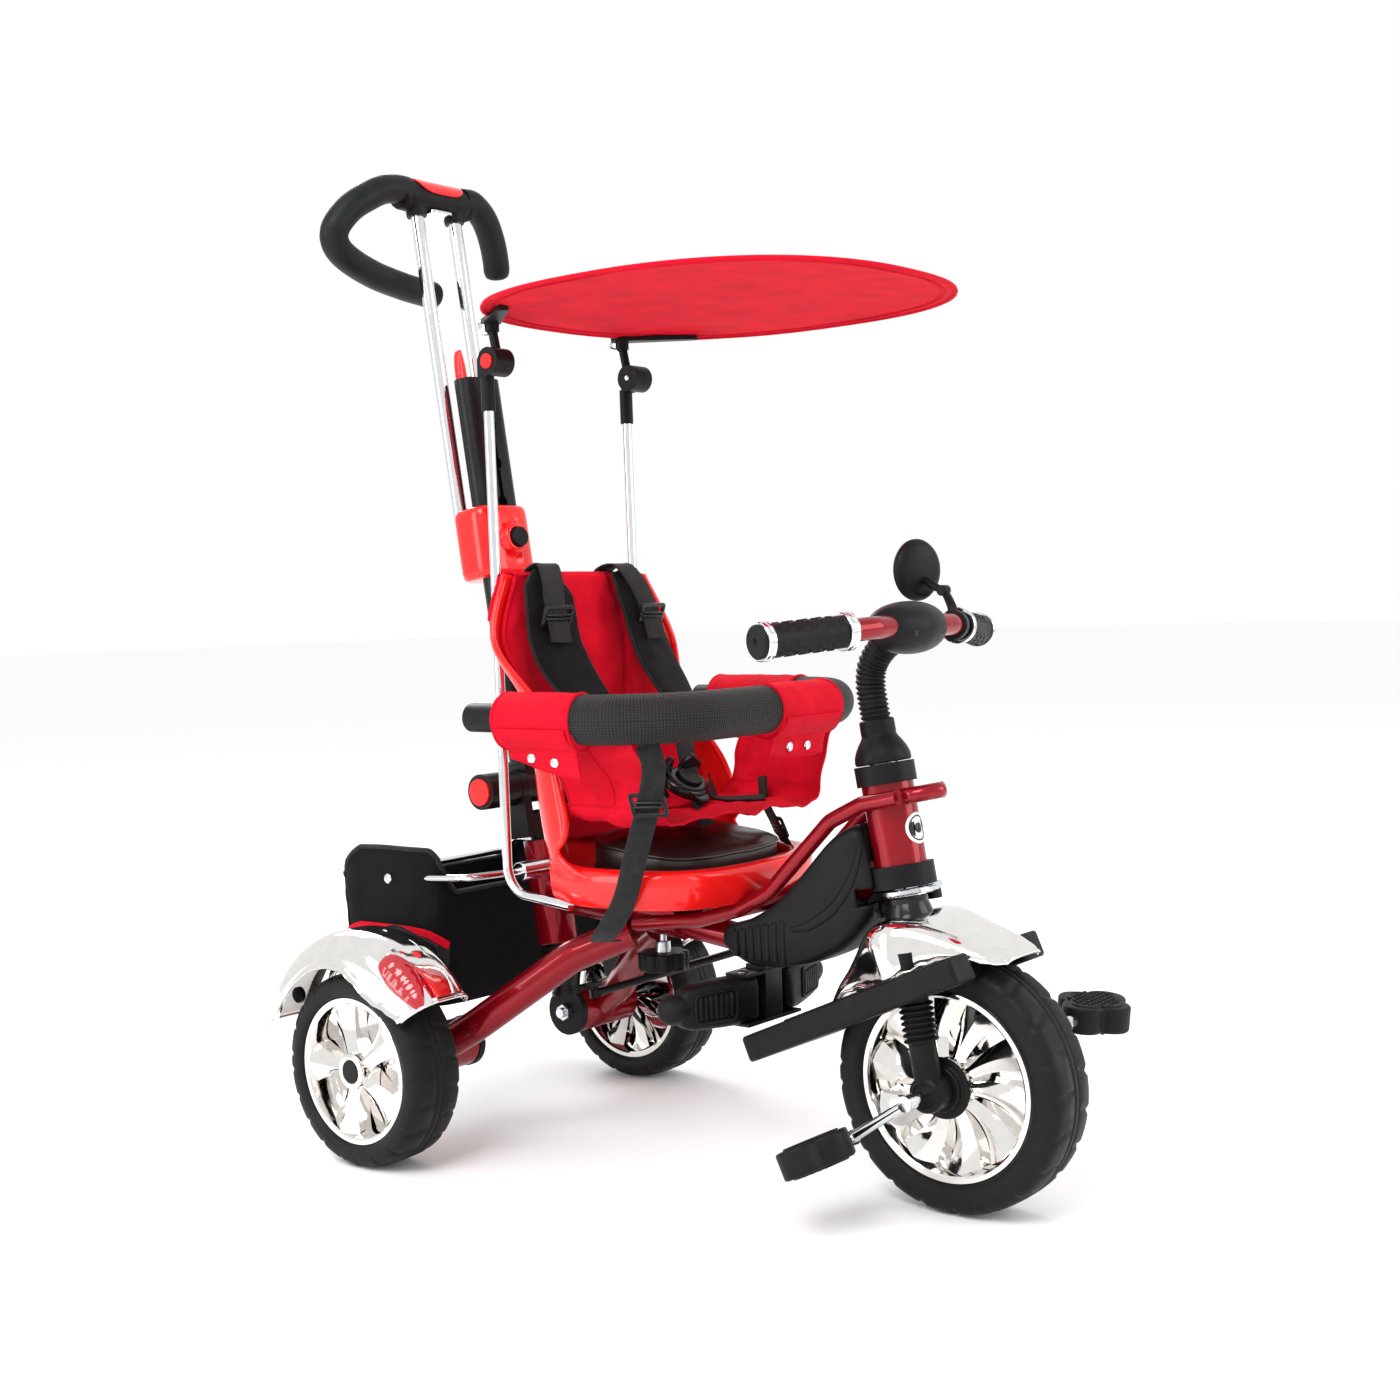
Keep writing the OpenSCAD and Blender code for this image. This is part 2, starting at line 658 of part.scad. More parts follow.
// From the axle to the end of the near crank; the far crank points the other way
crank_side = crank_len * unit([0, 66, -45]);

module front_tyre() color("#2a2a2c") placed()
    translate(front_hub_at) tyre_ring(front_wheel_r, front_rim_r, tyre_w);
module front_rim() color(colour_chrome) placed()
    translate(front_hub_at) spoked_rim(front_rim_r, tyre_w - 6, 24, crank_d / 2, 10, 10);
module front_hub() color(colour_black) placed() translate(front_hub_at) both() difference() {
    union() {
        x_rod(31, 36, 30);
        x_rod(36, 41, 22);
    }
    x_rod(30, 42, crank_d / 2);
}

module crank_axle() color(colour_chrome) placed() translate(front_hub_at) {
    x_rod(-102, 102, crank_d / 2);
    for (s = [-1, 1]) {
        foot = -s * crank_side;
        rod([s * 95, 0, 0], [s * 95, 0, 0] + foot, crank_d - 1);
        translate([s * 95, 0, 0] + foot) x_rod(s > 0 ? -7 : -87, s > 0 ? 87 : 7, crank_d / 2);
        for (k = [0, 1]) translate([s * 95, 0, 0] + foot * k) x_rod(-7, 7, 7.5);
    }
}

// Three-lobed pedal block round its own spindle hole
module pedal_block() difference() {
    union() {
        translate([0, 0, -13]) linear_extrude(height = 26) {
            translate([106.5, -24]) square([88, 48]);
            for (x = [128, 151, 174]) translate([x, 0]) circle(r = x == 151 ? 38 : 31);
        }
        translate([151, 0, -15]) cylinder(h = 30, r = 26);
    }
    x_rod(100, 183, crank_d / 2 + run_gap);
    translate([92, -40, -20]) cube([14.5, 80, 40]);
    translate([196, -40, -20]) cube([20, 80, 40]);
}

module pedal_near() color(colour_black) placed()
    translate(front_hub_at + crank_side) rotate([-26, 0, 0]) mirror([1, 0, 0]) pedal_block();
module pedal_far() color(colour_black) placed()
    translate(front_hub_at - crank_side) rotate([6, 0, 0]) pedal_block();

// ---- push bar ----

module push_column() color(colour_black) placed() on_bar() difference() {
    union() {
        translate([0, 0, -242]) cylinder(h = 214, r = steerer_r);
        translate([0, 0, -232]) cylinder(h = 46, r1 = 15, r2 = 21);
        translate([-40, -18, -58]) cube([80, 36, 26]);
        both() {
            translate([28, -18, -40]) cube([12, 36, 40]);
            x_rod(28, 40, 21);
            x_rod(40, 88, 20);
        }
        x_rod(-60, 60, 5);
        translate([0, 0, -242.5]) cylinder(h = 5, r = 16);
        translate([0, -9, -242.5]) cube([arm_x, 18, 5]);
        translate([arm_x, 0, -242.5]) cylinder(h = 5, r = 9);
    }
    both() x_rod(78, 90, 15.1);
    translate([arm_x, 0, -250]) cylinder(h = 20, r = 4 + run_gap);
}

module lock_button() on_bar() x_rod(82, 91, 15);
module lock_button_near() color(colour_red) placed() mirror([1, 0, 0]) lock_button();
module lock_button_far() color(colour_red) placed() lock_button();

module mast() color(colour_black) placed() on_bar() difference() {
    union() {
        x_rod(-27.5, 27.5, 19);
        translate([-27.5, -15, 0]) cube([55, 30, 30]);
        translate([0, 0, 26]) linear_extrude(height = mast_top - 26) oval(60, 30);
    }
    translate([0, 0, 40]) linear_extrude(height = mast_top) oval(54, 24);
    x_rod(-30, 30, 5 + run_gap);
    for (i = [0 : 3]) translate([0, -5, button_s + hole_pitch * i]) rotate([90, 0, 0]) cylinder(h = 20, r = 7);
    translate([-3, -25, button_s - 8]) cube([6, 20, hole_pitch * 3 + 16]);
}

module handle_clamp() color(colour_red) placed() on_bar() difference() {
    union() {
        translate([0, 0, 243]) linear_extrude(height = 82) {
            translate([0, -1]) oval(74, 38);
            translate([-41, 2]) square([82, 28]);
            translate([0, 28]) oval(82, 22);
        }
        translate([0, -18, button_s]) rotate([90, 0, 0]) cylinder(h = 12, r1 = 19, r2 = 16);
        translate([-19, 16.5, 300]) rotate([-90, 0, 0]) translate([0, -220, 0])
            linear_extrude(height = 13) polygon([[0, 220], [38, 220], [34, 40], [19, 0], [4, 40]]);
    }
    translate([0, 0, 230]) linear_extrude(height = 110) oval(60.8, 30.8);
    for (s = [-1, 1]) translate([s * tube_x, tube_y, 250]) cylinder(h = 400, r = 8);
    translate([0, -14, button_s]) rotate([90, 0, 0]) cylinder(h = 30, r = 11.1);
}

module handle_button() color(colour_black) placed() on_bar() translate([0, 0, button_s]) rotate([90, 0, 0]) {
    translate([0, 0, 22]) cylinder(h = 14, r = 11);
    translate([0, 0, 8]) cylinder(h = 14, r = 2.6);
}

module handle_tubes() color(colour_chrome) placed() on_bar()
    for (s = [-1, 1]) translate([s * tube_x, tube_y, 250]) cylinder(h = 438, r = 8);

ring_tilt = 24;
// Path of the grip ring in the plane that hangs back from the top of the tubes
ring_path = [
    [-52, 0, 4], [-104, 0, 2], [-152, 0, -50], [-112, 0, -98], [10, 0, -112]
];
ring_far = [[52, 0, 4], [88, 0, 2], [112, 0, -40], [118, 0, -84]];

module handle_grip() color(colour_black) placed() on_bar() translate([0, tube_y, 700]) difference() {
    union() {
        rotate([ring_tilt, 0, 0]) {
            swept_bar(ring_path, 34, 32, [0, 1, 0]);
            swept_bar(ring_far, 34, 32, [0, 1, 0]);
        }
        x_rod(-54, 54, 18);
        for (s = [-1, 1]) translate([s * tube_x, 0, -22]) cylinder(h = 22, r = 12);
    }
    for (s = [-1, 1]) translate([s * tube_x, 0, -450]) cylinder(h = 438, r = 8);
}

module link_rod() color(colour_black) placed() {
    rear = [arm_x, bar_y - 250.5 * sin(bar_lean), bar_z - 250.5 * cos(bar_lean)];
    front = [arm_x, steer_y - 32 * sin(rake), steer_z - 32 * cos(rake)];
    rod(rear, front, 9);
    on_bar() translate([arm_x, 0, -255.5]) cylinder(h = 10, r = 8);
    on_bar() translate([arm_x, 0, -247]) cylinder(h = 12, r = 4);
    on_steer() translate([arm_x, 0, -37]) cylinder(h = 9.5, r = 8);
    on_steer() translate([arm_x, 0, -30]) cylinder(h = 12.5, r = 4);
}

// ---- fold-away foot pegs ----

module peg() difference() {
    translate([peg_x, peg_y, 161]) rotate([0, 0, peg_sweep]) {
        linear_extrude(height = 48) {
            circle(r = 13);
            translate([0, -13]) square([68, 26]);
            translate([68, 0]) circle(r = 13);
        }
        translate([72, 0, 24]) x_rod(0, 15, 15);
        translate([87, 0, 24]) rotate([0, 90, 0]) rotate_extrude() intersection() {
            circle(r = 15);
            translate([0, 0]) square([15, 15]);
        }
    }
    translate([peg_x, peg_y, 150]) cylinder(h = 80, r = 3 + run_gap);
}
module peg_near() color(colour_black) placed() mirror([1, 0, 0]) peg();
module peg_far() color(colour_black) placed() peg();

// ---- the node that is asked for, or all of them ----

head_tube();
frame_rails();
main_tube();
rear_fork();
hub_discs();
rear_axles();
column_sleeve();
head_cups();
frame_covers();
peg_bracket();
seat_shell();
seat_cushion();
backrest_cover();
harness();
seat_liner();
hoop_sockets();
canopy_posts();
lower_elbows();
mudguards();
basket_bag();
basket_rail();
steerer();
stem_gaiter();
handlebar();
bar_cover();
grips();
fork();
steering_arm();
front_fender();
foot_plate();
mirror_head();
front_tyre();
front_rim();
front_hub();
crank_axle();
pedal_near();
pedal_far();
rear_tyre_near();
rear_rim_near();
rear_tyre_far();
rear_rim_far();
push_column();
mast();
handle_clamp();
handle_tubes();
handle_grip();
handle_button();
lock_button_near();
lock_button_far();
link_rod();
seat_knob();
peg_near();
peg_far();
canopy_arms();
canopy();
elbow_button_near();
elbow_button_far();
hoop_tube();
hoop_padding();
buckle_button();
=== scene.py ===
"""Looks of the children's tricycle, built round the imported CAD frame."""
from math import copysign, cos, exp, pi, radians, sin, sqrt, tan

import bpy
import bmesh
from mathutils import Matrix, Vector, noise


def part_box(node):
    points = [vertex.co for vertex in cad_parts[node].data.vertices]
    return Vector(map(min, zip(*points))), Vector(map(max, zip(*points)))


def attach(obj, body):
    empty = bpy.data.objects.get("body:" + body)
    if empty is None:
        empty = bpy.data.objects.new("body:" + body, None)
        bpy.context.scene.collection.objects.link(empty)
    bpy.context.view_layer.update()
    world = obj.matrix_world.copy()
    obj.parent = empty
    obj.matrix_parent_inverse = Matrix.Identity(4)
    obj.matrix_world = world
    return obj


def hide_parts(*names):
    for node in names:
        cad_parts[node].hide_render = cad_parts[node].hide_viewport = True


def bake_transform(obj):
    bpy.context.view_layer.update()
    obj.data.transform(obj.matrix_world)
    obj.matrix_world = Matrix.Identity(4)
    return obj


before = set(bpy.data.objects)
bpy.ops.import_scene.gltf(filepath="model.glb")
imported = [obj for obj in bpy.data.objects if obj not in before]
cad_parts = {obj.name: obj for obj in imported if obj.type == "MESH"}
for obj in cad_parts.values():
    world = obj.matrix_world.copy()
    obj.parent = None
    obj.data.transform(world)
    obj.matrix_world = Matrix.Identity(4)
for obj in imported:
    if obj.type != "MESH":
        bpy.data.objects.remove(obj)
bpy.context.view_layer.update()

# ---------------------------------------------------------------- places
MM = 0.001
TAU = 2 * pi
_lo, _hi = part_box("rear_tyre_near")
AXLE_Y = (_lo[1] + _hi[1]) / 2


def place(x, y, z, tilt=0.0):
    """Matrix from millimetres in a local frame to metres. Y is counted from the rear axle."""
    return (Matrix.Translation((x * MM, y * MM + AXLE_Y, z * MM)) @ Matrix.Rotation(radians(tilt), 4, "X")
        @ Matrix.Scale(MM, 4))


REST = place(0, 0, 0)
STEER = place(0, -536.5, 328, -10)
BAR = place(0, -40, 390, -9)
FRONT_AXLE = (0, -598.5, 125)
REAR_AXLE_Z = 105
HUB = (0, 0, REAR_AXLE_Z)
CLAMP_BUTTON = (0, 0, 285)
SIDES = ((-1, "near"), (1, "far"))
REAR_TRACK = 222.5


# ---------------------------------------------------------------- materials
class Look:
    """A procedural material: one Principled shader and helpers that add nodes to it."""

    def __init__(self, name, colour, rough=0.5, metallic=0.0, coat=0.0, coat_rough=0.06, **sockets):
        self.material = bpy.data.materials.new(name)
        self.material.use_nodes = True
        self.tree = self.material.node_tree
        self.shader = self.tree.nodes["Principled BSDF"]
        self.colour = tuple(colour) + (1.0,)
        self.set("Base Color", self.colour)
        self.set("Roughness", rough)
        self.set("Metallic", metallic)
        self.set("Coat Weight", coat)
        self.set("Coat Roughness", coat_rough)
        for key, value in sockets.items():
            self.set(key.replace("_", " "), value)
        self.bump_out = None

    def set(self, socket, value):
        if isinstance(value, bpy.types.NodeSocket):
            self.tree.links.new(value, self.shader.inputs[socket])
        else:
            self.shader.inputs[socket].default_value = value

    def node(self, kind, inputs=None, **props):
        n = self.tree.nodes.new("ShaderNode" + kind)
        for key, value in props.items():
            setattr(n, key, value)
        for key, value in (inputs or {}).items():
            if isinstance(value, bpy.types.NodeSocket):
                self.tree.links.new(value, n.inputs[key])
            else:
                n.inputs[key].default_value = value
        return n

    def where(self, kind="Object"):
        return self.node("TexCoord").outputs[kind]

    def noise(self, scale, detail=3.0, rough=0.5, at=None, **extra):
        at = at or self.where()
        inputs = {"Vector": at, "Scale": scale, "Detail": detail, "Roughness": rough}
        inputs.update(extra)
        return self.node("TexNoise", inputs).outputs["Fac"]

    def math(self, op, a, b=0.0, clamp=False):
        n = self.node("Math", {0: a, 1: b}, operation=op)
        n.use_clamp = clamp
        return n.outputs[0]

    def ramp(self, value, lo, hi, out_lo, out_hi):
        n = self.node("MapRange", {"Value": value, "From Min": lo, "From Max": hi, "To Min": out_lo,
            "To Max": out_hi})
        return n.outputs["Result"]

    def mix(self, fac, a, b):
        n = self.node("Mix", data_type="RGBA")
        for index, value in ((0, fac), (6, a), (7, b)):
            if isinstance(value, bpy.types.NodeSocket):
                self.tree.links.new(value, n.inputs[index])
            else:
                n.inputs[index].default_value = value if index == 0 else tuple(value)
        return n.outputs[2]

    def mottle(self, scale, amount, detail=4.0):
        """Colour that drifts a little lighter and darker over the surface."""
        c = self.colour
        dark = tuple(v * (1 - amount) for v in c[:3]) + (1.0,)
        light = tuple(min(1.0, v * (1 + amount) + 0.02 * amount) for v in c[:3]) + (1.0,)
        fac = self.ramp(self.noise(scale, detail), 0.3, 0.7, 0.0, 1.0)
        self.set("Base Color", self.mix(fac, dark, light))
        return self

    def rough_drift(self, scale, lo, hi, detail=5.0):
        self.set("Roughness", self.ramp(self.noise(scale, detail, 0.65), 0.3, 0.7, lo, hi))
        return self

    def bump(self, height, distance, strength=1.0):
        """Adds a height in metres on top of the bumps already there."""
        inputs = {"Height": height, "Distance": distance, "Strength": strength}
        if self.bump_out:
            inputs["Normal"] = self.bump_out
        self.bump_out = self.node("Bump", inputs).outputs["Normal"]
        self.set("Normal", self.bump_out)
        return self

    def soft_edges(self, radius):
        self.bump_out = self.node("Bevel", {"Radius": radius}, samples=4).outputs["Normal"]
        self.set("Normal", self.bump_out)
        return self

    def weave(self, pitch, depth, diagonal=False, uv=True):
        """Over-and-under threads, pitch apart, in metres."""
        at = self.node("VectorMath", {0: self.where("UV" if uv else "Object"), 1: (1 / pitch,) * 3},
            operation="MULTIPLY").outputs[0]
        axis = self.node("SeparateXYZ", {0: at}).outputs
        turns = TAU
        if uv:
            a, b = axis[0], axis[1]
            if diagonal:
                a, b = self.math("ADD", a, b), self.math("SUBTRACT", a, b)
            h = self.math("MULTIPLY", self.math("SINE", self.math("MULTIPLY", a, turns)), self.math("SINE",
                self.math("MULTIPLY", b, turns)))
        else:
            s = [self.math("SINE", self.math("MULTIPLY", c, turns)) for c in axis[:3]]
            c = [self.math("COSINE", self.math("MULTIPLY", c, turns)) for c in axis[:3]]
            h = self.math("ADD", self.math("MULTIPLY", s[0], c[1]), self.math("ADD", self.math("MULTIPLY",
                s[1], c[2]), self.math("MULTIPLY", s[2], c[0])))
        self.bump(h, depth)
        return h


def paint_red():
    look = Look("candy_red_lacquer", (0.24, 0.0015, 0.008), 0.30, 0.55, 0.45, 0.03, Specular_IOR_Level=0.1)
    look.mottle(40, 0.06).rough_drift(30, 0.26, 0.34)
    look.bump(look.noise(26, 2.0), 0.00012)
    return look.material


def plastic(name, colour, rough, grain=0.00006, edge=0.0012, coat=0.0, drift=0.06, mottle=0.08, shine=0.4):
    look = Look(name, colour, rough, 0.0, coat, 0.04, Specular_IOR_Level=shine)
    look.soft_edges(edge)
    look.mottle(35, mottle).rough_drift(60, rough - drift, rough + drift)
    if grain:
        look.bump(look.noise(1800, 2.0, 0.6), grain)
    look.bump(look.noise(25, 2.0), 0.00025)
    return look.material


def rubber(name, colour, rough):
    look = Look(name, colour, rough, 0.0, 0.0, Specular_IOR_Level=0.15)
    look.soft_edges(0.001)
    look.mottle(45, 0.18).rough_drift(90, rough - 0.1, rough + 0.1)
    look.bump(look.noise(900, 3.0, 0.7), 0.00012)
    return look.material


def metal(name, colour, rough, wave=0.0, edge=0.0008, spots=0.05):
    look = Look(name, colour, rough, 1.0)
    if edge:
        look.soft_edges(edge)
    look.mottle(80, 0.04).rough_drift(200, max(0.01, rough - spots), rough + spots)
    if wave:
        look.bump(look.noise(22, 1.0), wave)
    look.bump(look.noise(700, 2.0, 0.6), 0.00002)
    return look.material


def tyre_foam():
    look = Look("tyre_foam", (0.007, 0.0065, 0.0065), 0.5, Specular_IOR_Level=0.16)
    look.mottle(30, 0.35, 6.0).rough_drift(40, 0.38, 0.62)
    scuff = look.ramp(look.noise(11, 8.0, 0.7), 0.55, 0.75, 0.0, 0.6)
    speck = look.ramp(look.noise(520, 2.0), 0.60, 0.78, 0.0, 1.0)
    worn = look.mix(look.math("MULTIPLY", scuff, speck), look.colour, (0.06, 0.055, 0.05, 1.0))
    look.set("Base Color", worn)
    look.bump(look.noise(420, 4.0, 0.7), 0.00022)
    look.bump(look.noise(60, 2.0), 0.0005)
    return look.material


def cloth(name, colour, pitch=0.0011, rough=0.78, uv=True, sheen=0.03, depth=0.00022, folds=0.0016):
    look = Look(name, colour, rough, Sheen_Weight=sheen, Sheen_Roughness=0.45, Specular_IOR_Level=0.12)
    look.set("Sheen Tint", tuple(min(1.0, c * 1.3 + 0.05) for c in colour) + (1.0,))
    h = look.weave(pitch, depth, uv=uv)
    c = look.colour
    # painted highlight: the raised tops of the weave are mixed towards the lighter tone, following the weave
    # bump height
    thread_top_highlight = look.ramp(h, -1.0, 1.0, 0.0, 1.0)
    drift = look.ramp(look.noise(26, 5.0, 0.6), 0.3, 0.7, 0.0, 1.0)
    dark = tuple(v * 0.78 for v in c[:3]) + (1.0,)
    light = tuple(min(1.0, v * 1.12) for v in c[:3]) + (1.0,)
    tone = look.mix(drift, dark, light)
    look.set("Base Color", look.mix(look.math("MULTIPLY", thread_top_highlight, 0.35), tone, light))
    look.bump(look.noise(16, 3.0, 0.55), folds)
    return look.material


def webbing():
    look = Look("black_webbing", (0.007, 0.007, 0.008), 0.6, Sheen_Weight=0.05, Sheen_Roughness=0.4,
        Specular_IOR_Level=0.25)
    look.mottle(120, 0.3)
    look.weave(0.0022, 0.0004, diagonal=True)
    return look.material


def mesh_cloth(name, colour, pitch, painted_hole_shade):
    """Knitted spacer mesh: a net of threads, with the low places between them painted near-black as painted
    shade in the holes.
    """
    look = Look(name, colour, 0.6, Sheen_Weight=0.04, Sheen_Roughness=0.5, Specular_IOR_Level=0.3)
    h = look.weave(pitch, 0.0006, diagonal=True)
    hole_shade_mask = look.ramp(h, -0.5, 0.5, 0.0, 1.0)
    # painted shade: the low places of the weave take the near-black hole colour
    look.set("Base Color", look.mix(hole_shade_mask, painted_hole_shade + (1.0,), look.colour))
    look.bump(look.noise(40, 3.0), 0.0006)
    return look.material


def vinyl():
    look = Look("black_vinyl", (0.010, 0.007, 0.007), 0.34, 0.0, 0.2, 0.2, Specular_IOR_Level=0.4)
    cells = look.node("TexVoronoi", {"Vector": look.where(), "Scale": 620.0},
        feature="DISTANCE_TO_EDGE").outputs["Distance"]
    look.mottle(30, 0.2).rough_drift(30, 0.30, 0.40)
    look.bump(look.ramp(cells, 0.0, 0.25, 0.0, 1.0), 0.00006)
    look.bump(look.noise(18, 2.0), 0.0007)
    return look.material


def glass_mirror():
    look = Look("mirror_glass", (0.86, 0.88, 0.9), 0.02, 1.0)
    look.rough_drift(60, 0.01, 0.05)
    return look.material


M = {"paint": paint_red(), "red": plastic("gloss_red_plastic", (0.78, 0.008, 0.008), 0.20, 0.0, 0.0015,
    0.35, 0.04, 0.05, shine=0.25), "black": plastic("satin_black_plastic", (0.006, 0.006, 0.007), 0.42,
    shine=0.13), "gloss_black": plastic("gloss_black_plastic", (0.006, 0.006, 0.007), 0.24, 0.0, 0.001, 0.2,
    0.05, shine=0.2), "mast": plastic("black_powder_coat", (0.005, 0.004, 0.005), 0.32, 0.00006, 0.001,
    shine=0.2), "rubber": rubber("black_rubber", (0.005, 0.005, 0.006), 0.5), "foam": rubber("black_foam",
    (0.007, 0.008, 0.008), 0.46), "chrome": metal("polished_chrome", (0.72, 0.73, 0.75), 0.07, 0.0, 0.0,
    spots=0.03), "plated": metal("plated_chrome", (0.80, 0.78, 0.755), 0.06, 0.0009, 0.0, spots=0.03),
    "zinc": metal("bright_zinc", (0.62, 0.65, 0.68), 0.3, 0.0002, spots=0.1), "tyre": tyre_foam(),
    "vinyl": vinyl(), "fabric": cloth("crimson_polyester", (0.76, 0.003, 0.022)),
    "fabric_soft": cloth("crimson_padding", (0.76, 0.003, 0.022), uv=False), "bag": cloth("black_polyester",
    (0.004, 0.004, 0.005), 0.0010, 0.72, sheen=0.05), "pad": cloth("black_padding", (0.005, 0.005, 0.006),
    # the last colour of each mesh_cloth call is the painted shade in the mesh holes
    0.0013, 0.6, uv=False, sheen=0.06), "webbing": webbing(), "mesh": mesh_cloth("black_spacer_mesh",
    (0.014, 0.014, 0.015), 0.0056, (0.001, 0.001, 0.001)), "net": mesh_cloth("black_net", (0.014, 0.014,
    0.015), 0.0050, (0.001, 0.001, 0.001)), "mirror": glass_mirror(), "white": plastic("white_enamel",
    (0.78, 0.78, 0.76), 0.3, 0.0, 0.0003), "lens": plastic("red_lens", (0.36, 0.003, 0.010), 0.1, 0.0,
    0.0008, 0.8, 0.03), }


# ---------------------------------------------------------------- mesh helpers
def build(name, verts, faces, mat, m=REST, uvs=None, sharp=38):
    me = bpy.data.meshes.new(name)
    me.from_pydata([(m @ Vector(v))[:] for v in verts], [], faces)
    if uvs:
        layer = me.uv_layers.new(name="UVMap")
        flat = [c for face in uvs for uv in face for c in uv]
        layer.data.foreach_set("uv", flat)
    bm = bmesh.new()
    bm.from_mesh(me)
    bmesh.ops.recalc_face_normals(bm, faces=bm.faces)
    bm.to_mesh(me)
    bm.free()
    me.shade_smooth()
    me.set_sharp_from_angle(angle=radians(sharp))
    me.materials.append(M[mat])
    o = bpy.data.objects.new(name, me)
    bpy.context.scene.collection.objects.link(o)
    return o


def loft(name, rings, mat, m=REST, wrap=True, caps=True, loop=False, sharp=38):
    """Skin through rings of points. wrap closes each ring, loop joins the last ring to the first."""
    rings = [[Vector(p) for p in r] for r in rings]
    n, count = len(rings[0]), len(rings)
    along = [0.0]
    for i in range(1, count + 1):
        a, b = rings[i - 1], rings[i % count]
        along.append(along[-1] + sum((b[j] - a[j]).length for j in range(n)) / n * MM)
    middle = rings[count // 2]
    around = [0.0]
    for j in range(1, n + 1):
        around.append(around[-1] + (middle[j % n] - middle[j - 1]).length * MM)
    verts = [p for r in rings for p in r]
    faces, uvs = [], []
    for i in range(count if loop else count - 1):
        k = (i + 1) % count
        for j in range(n if wrap else n - 1):
            l = (j + 1) % n
            faces.append((i * n + j, i * n + l, k * n + l, k * n + j))
            uvs.append([(around[j], along[i]), (around[j + 1], along[i]), (around[j + 1], along[i + 1]),
                (around[j], along[i + 1])])
    if wrap and caps and not loop:
        for i in (0, count - 1):
            face = [i * n + j for j in range(n)]
            faces.append(tuple(face))
            centre = sum(rings[i], Vector()) / n
            uvs.append([((rings[i][j] - centre).x * MM, (rings[i][j] - centre).y * MM) for j in range(n)])
    return build(name, verts, faces, mat, m, uvs, sharp)


def turned(axis, centre, a, r, t):
    c, s = r * cos(t), r * sin(t)
    d = {"X": (a, c, s), "Y": (c, a, s), "Z": (c, s, a)}[axis]
    return Vector(centre) + Vector(d)


def lathe(name, profile, mat, m=REST, axis="X", centre=(0, 0, 0), n=64, loop=False, caps=True, sharp=30):
    """Turned piece: profile is (place along the axis, radius), points going along it."""
    rings = [[turned(axis, centre, a, r, TAU * k / n) for k in range(n)] for a, r in profile]
    return loft(name, rings, mat, m, caps=caps, loop=loop, sharp=sharp)


def smooth_path(points, steps=8):
    """Catmull-Rom curve through the points, steps stations per span."""
    p = [Vector(q) for q in points]
    p = [2 * p[0] - p[1]] + p + [2 * p[-1] - p[-2]]
    out = []
    for i in range(1, len(p) - 2):
        a, b, c, d = p[i - 1:i + 3]
        for k in range(steps):
            f = k / steps
            out.append(0.5 * (2 * b + (c - a) * f + (2 * a - 5 * b + 4 * c - d) * f ** 2
                + (3 * b - a - 3 * c + d) * f ** 3))
    return out + [p[-2]]


def filleted(points, radius, steps=8):
    """Open path whose corners are rounded like bent tube."""
    pts = [Vector(p) for p in points]
    path = [pts[0]]
    for a, b, c in zip(pts, pts[1:], pts[2:]):
        u, v = (a - b).normalized(), (c - b).normalized()
        half = u.angle(v) / 2
        cut = min(radius / tan(half), 0.45 * (a - b).length, 0.45 * (c - b).length)
        middle = b + (u + v).normalized() * (cut / cos(half))
        start = b + u * cut - middle
        swing = start.angle(b + v * cut - middle)
        axis = start.cross(v).normalized()
        path += [middle + Matrix.Rotation(swing * k / steps, 3, axis) @ start for k in range(steps + 1)]
    return path + [pts[-1]]


def sided(side, points):
    """The same points on the near (-1) or the far (1) side."""
    return [(side * p[0],) + tuple(p[1:]) for p in points]


def wall(b, n=4):
    """Quads between two rings of n corners, the first one starting at corner b."""
    return [(b + q, b + (q + 1) % n, b + n + (q + 1) % n, b + n + q) for q in range(n)]


def frames(path, side):
    """(point, side direction, normal direction) at each station; side is kept as near as it can be."""
    out = []
    for i, p in enumerate(path):
        t = (path[min(i + 1, len(path) - 1)] - path[max(i - 1, 0)]).normalized()
        v = Vector(side[i] if isinstance(side, list) else side)
        s = (v - t * v.dot(t)).normalized()
        out.append((p, s, t.cross(s)))
    return out


def tube(name, path, radius, mat, m=REST, n=24, side=(0, 0, 1), caps=True, sharp=38, oval=1.0):
    stations = frames([Vector(p) for p in path], side)
    rings = []
    for i, (p, s, u) in enumerate(stations):
        r = radius(i / (len(stations) - 1)) if callable(radius) else radius
        rings.append([p + s * r * cos(TAU * k / n) + u * r * oval * sin(TAU * k / n) for k in range(n)])
    return loft(name, rings, mat, m, caps=caps, sharp=sharp)


def bead(name, line, r, mat, side, n=10, m=REST, sharp=80):
    """Closed round bead along a line of points; side is a vector or side(point, direction)."""
    rings = []
    for i, p in enumerate(line):
        t = (line[(i + 1) % len(line)] - line[i - 1]).normalized()
        s = side(p, t) if callable(side) else side
        u = t.cross(s)
        rings.append([p + s * r * cos(TAU * k / n) + u * r * sin(TAU * k / n) for k in range(n)])
    return loft(name, rings, mat, m, loop=True, sharp=sharp)


def ribbon(name, path, width, thick, mat, side, m=REST, edge=0.8):
    """Flat strap of rounded section that follows the path; side is its width direction."""
    rings = []
    w, t = width / 2, thick / 2
    section = [(-w, -t + edge), (-w + edge, -t), (-w / 3, -t), (w / 3, -t), (w - edge, -t), (w, -t + edge),
        (w, t - edge), (w - edge, t), (w / 3, t), (-w / 3, t), (-w + edge, t), (-w, t - edge)]
    for p, s, u in frames([Vector(q) for q in path], side):
        rings.append([p + s * a + u * b for a, b in section])
    return loft(name, rings, mat, m, sharp=50)


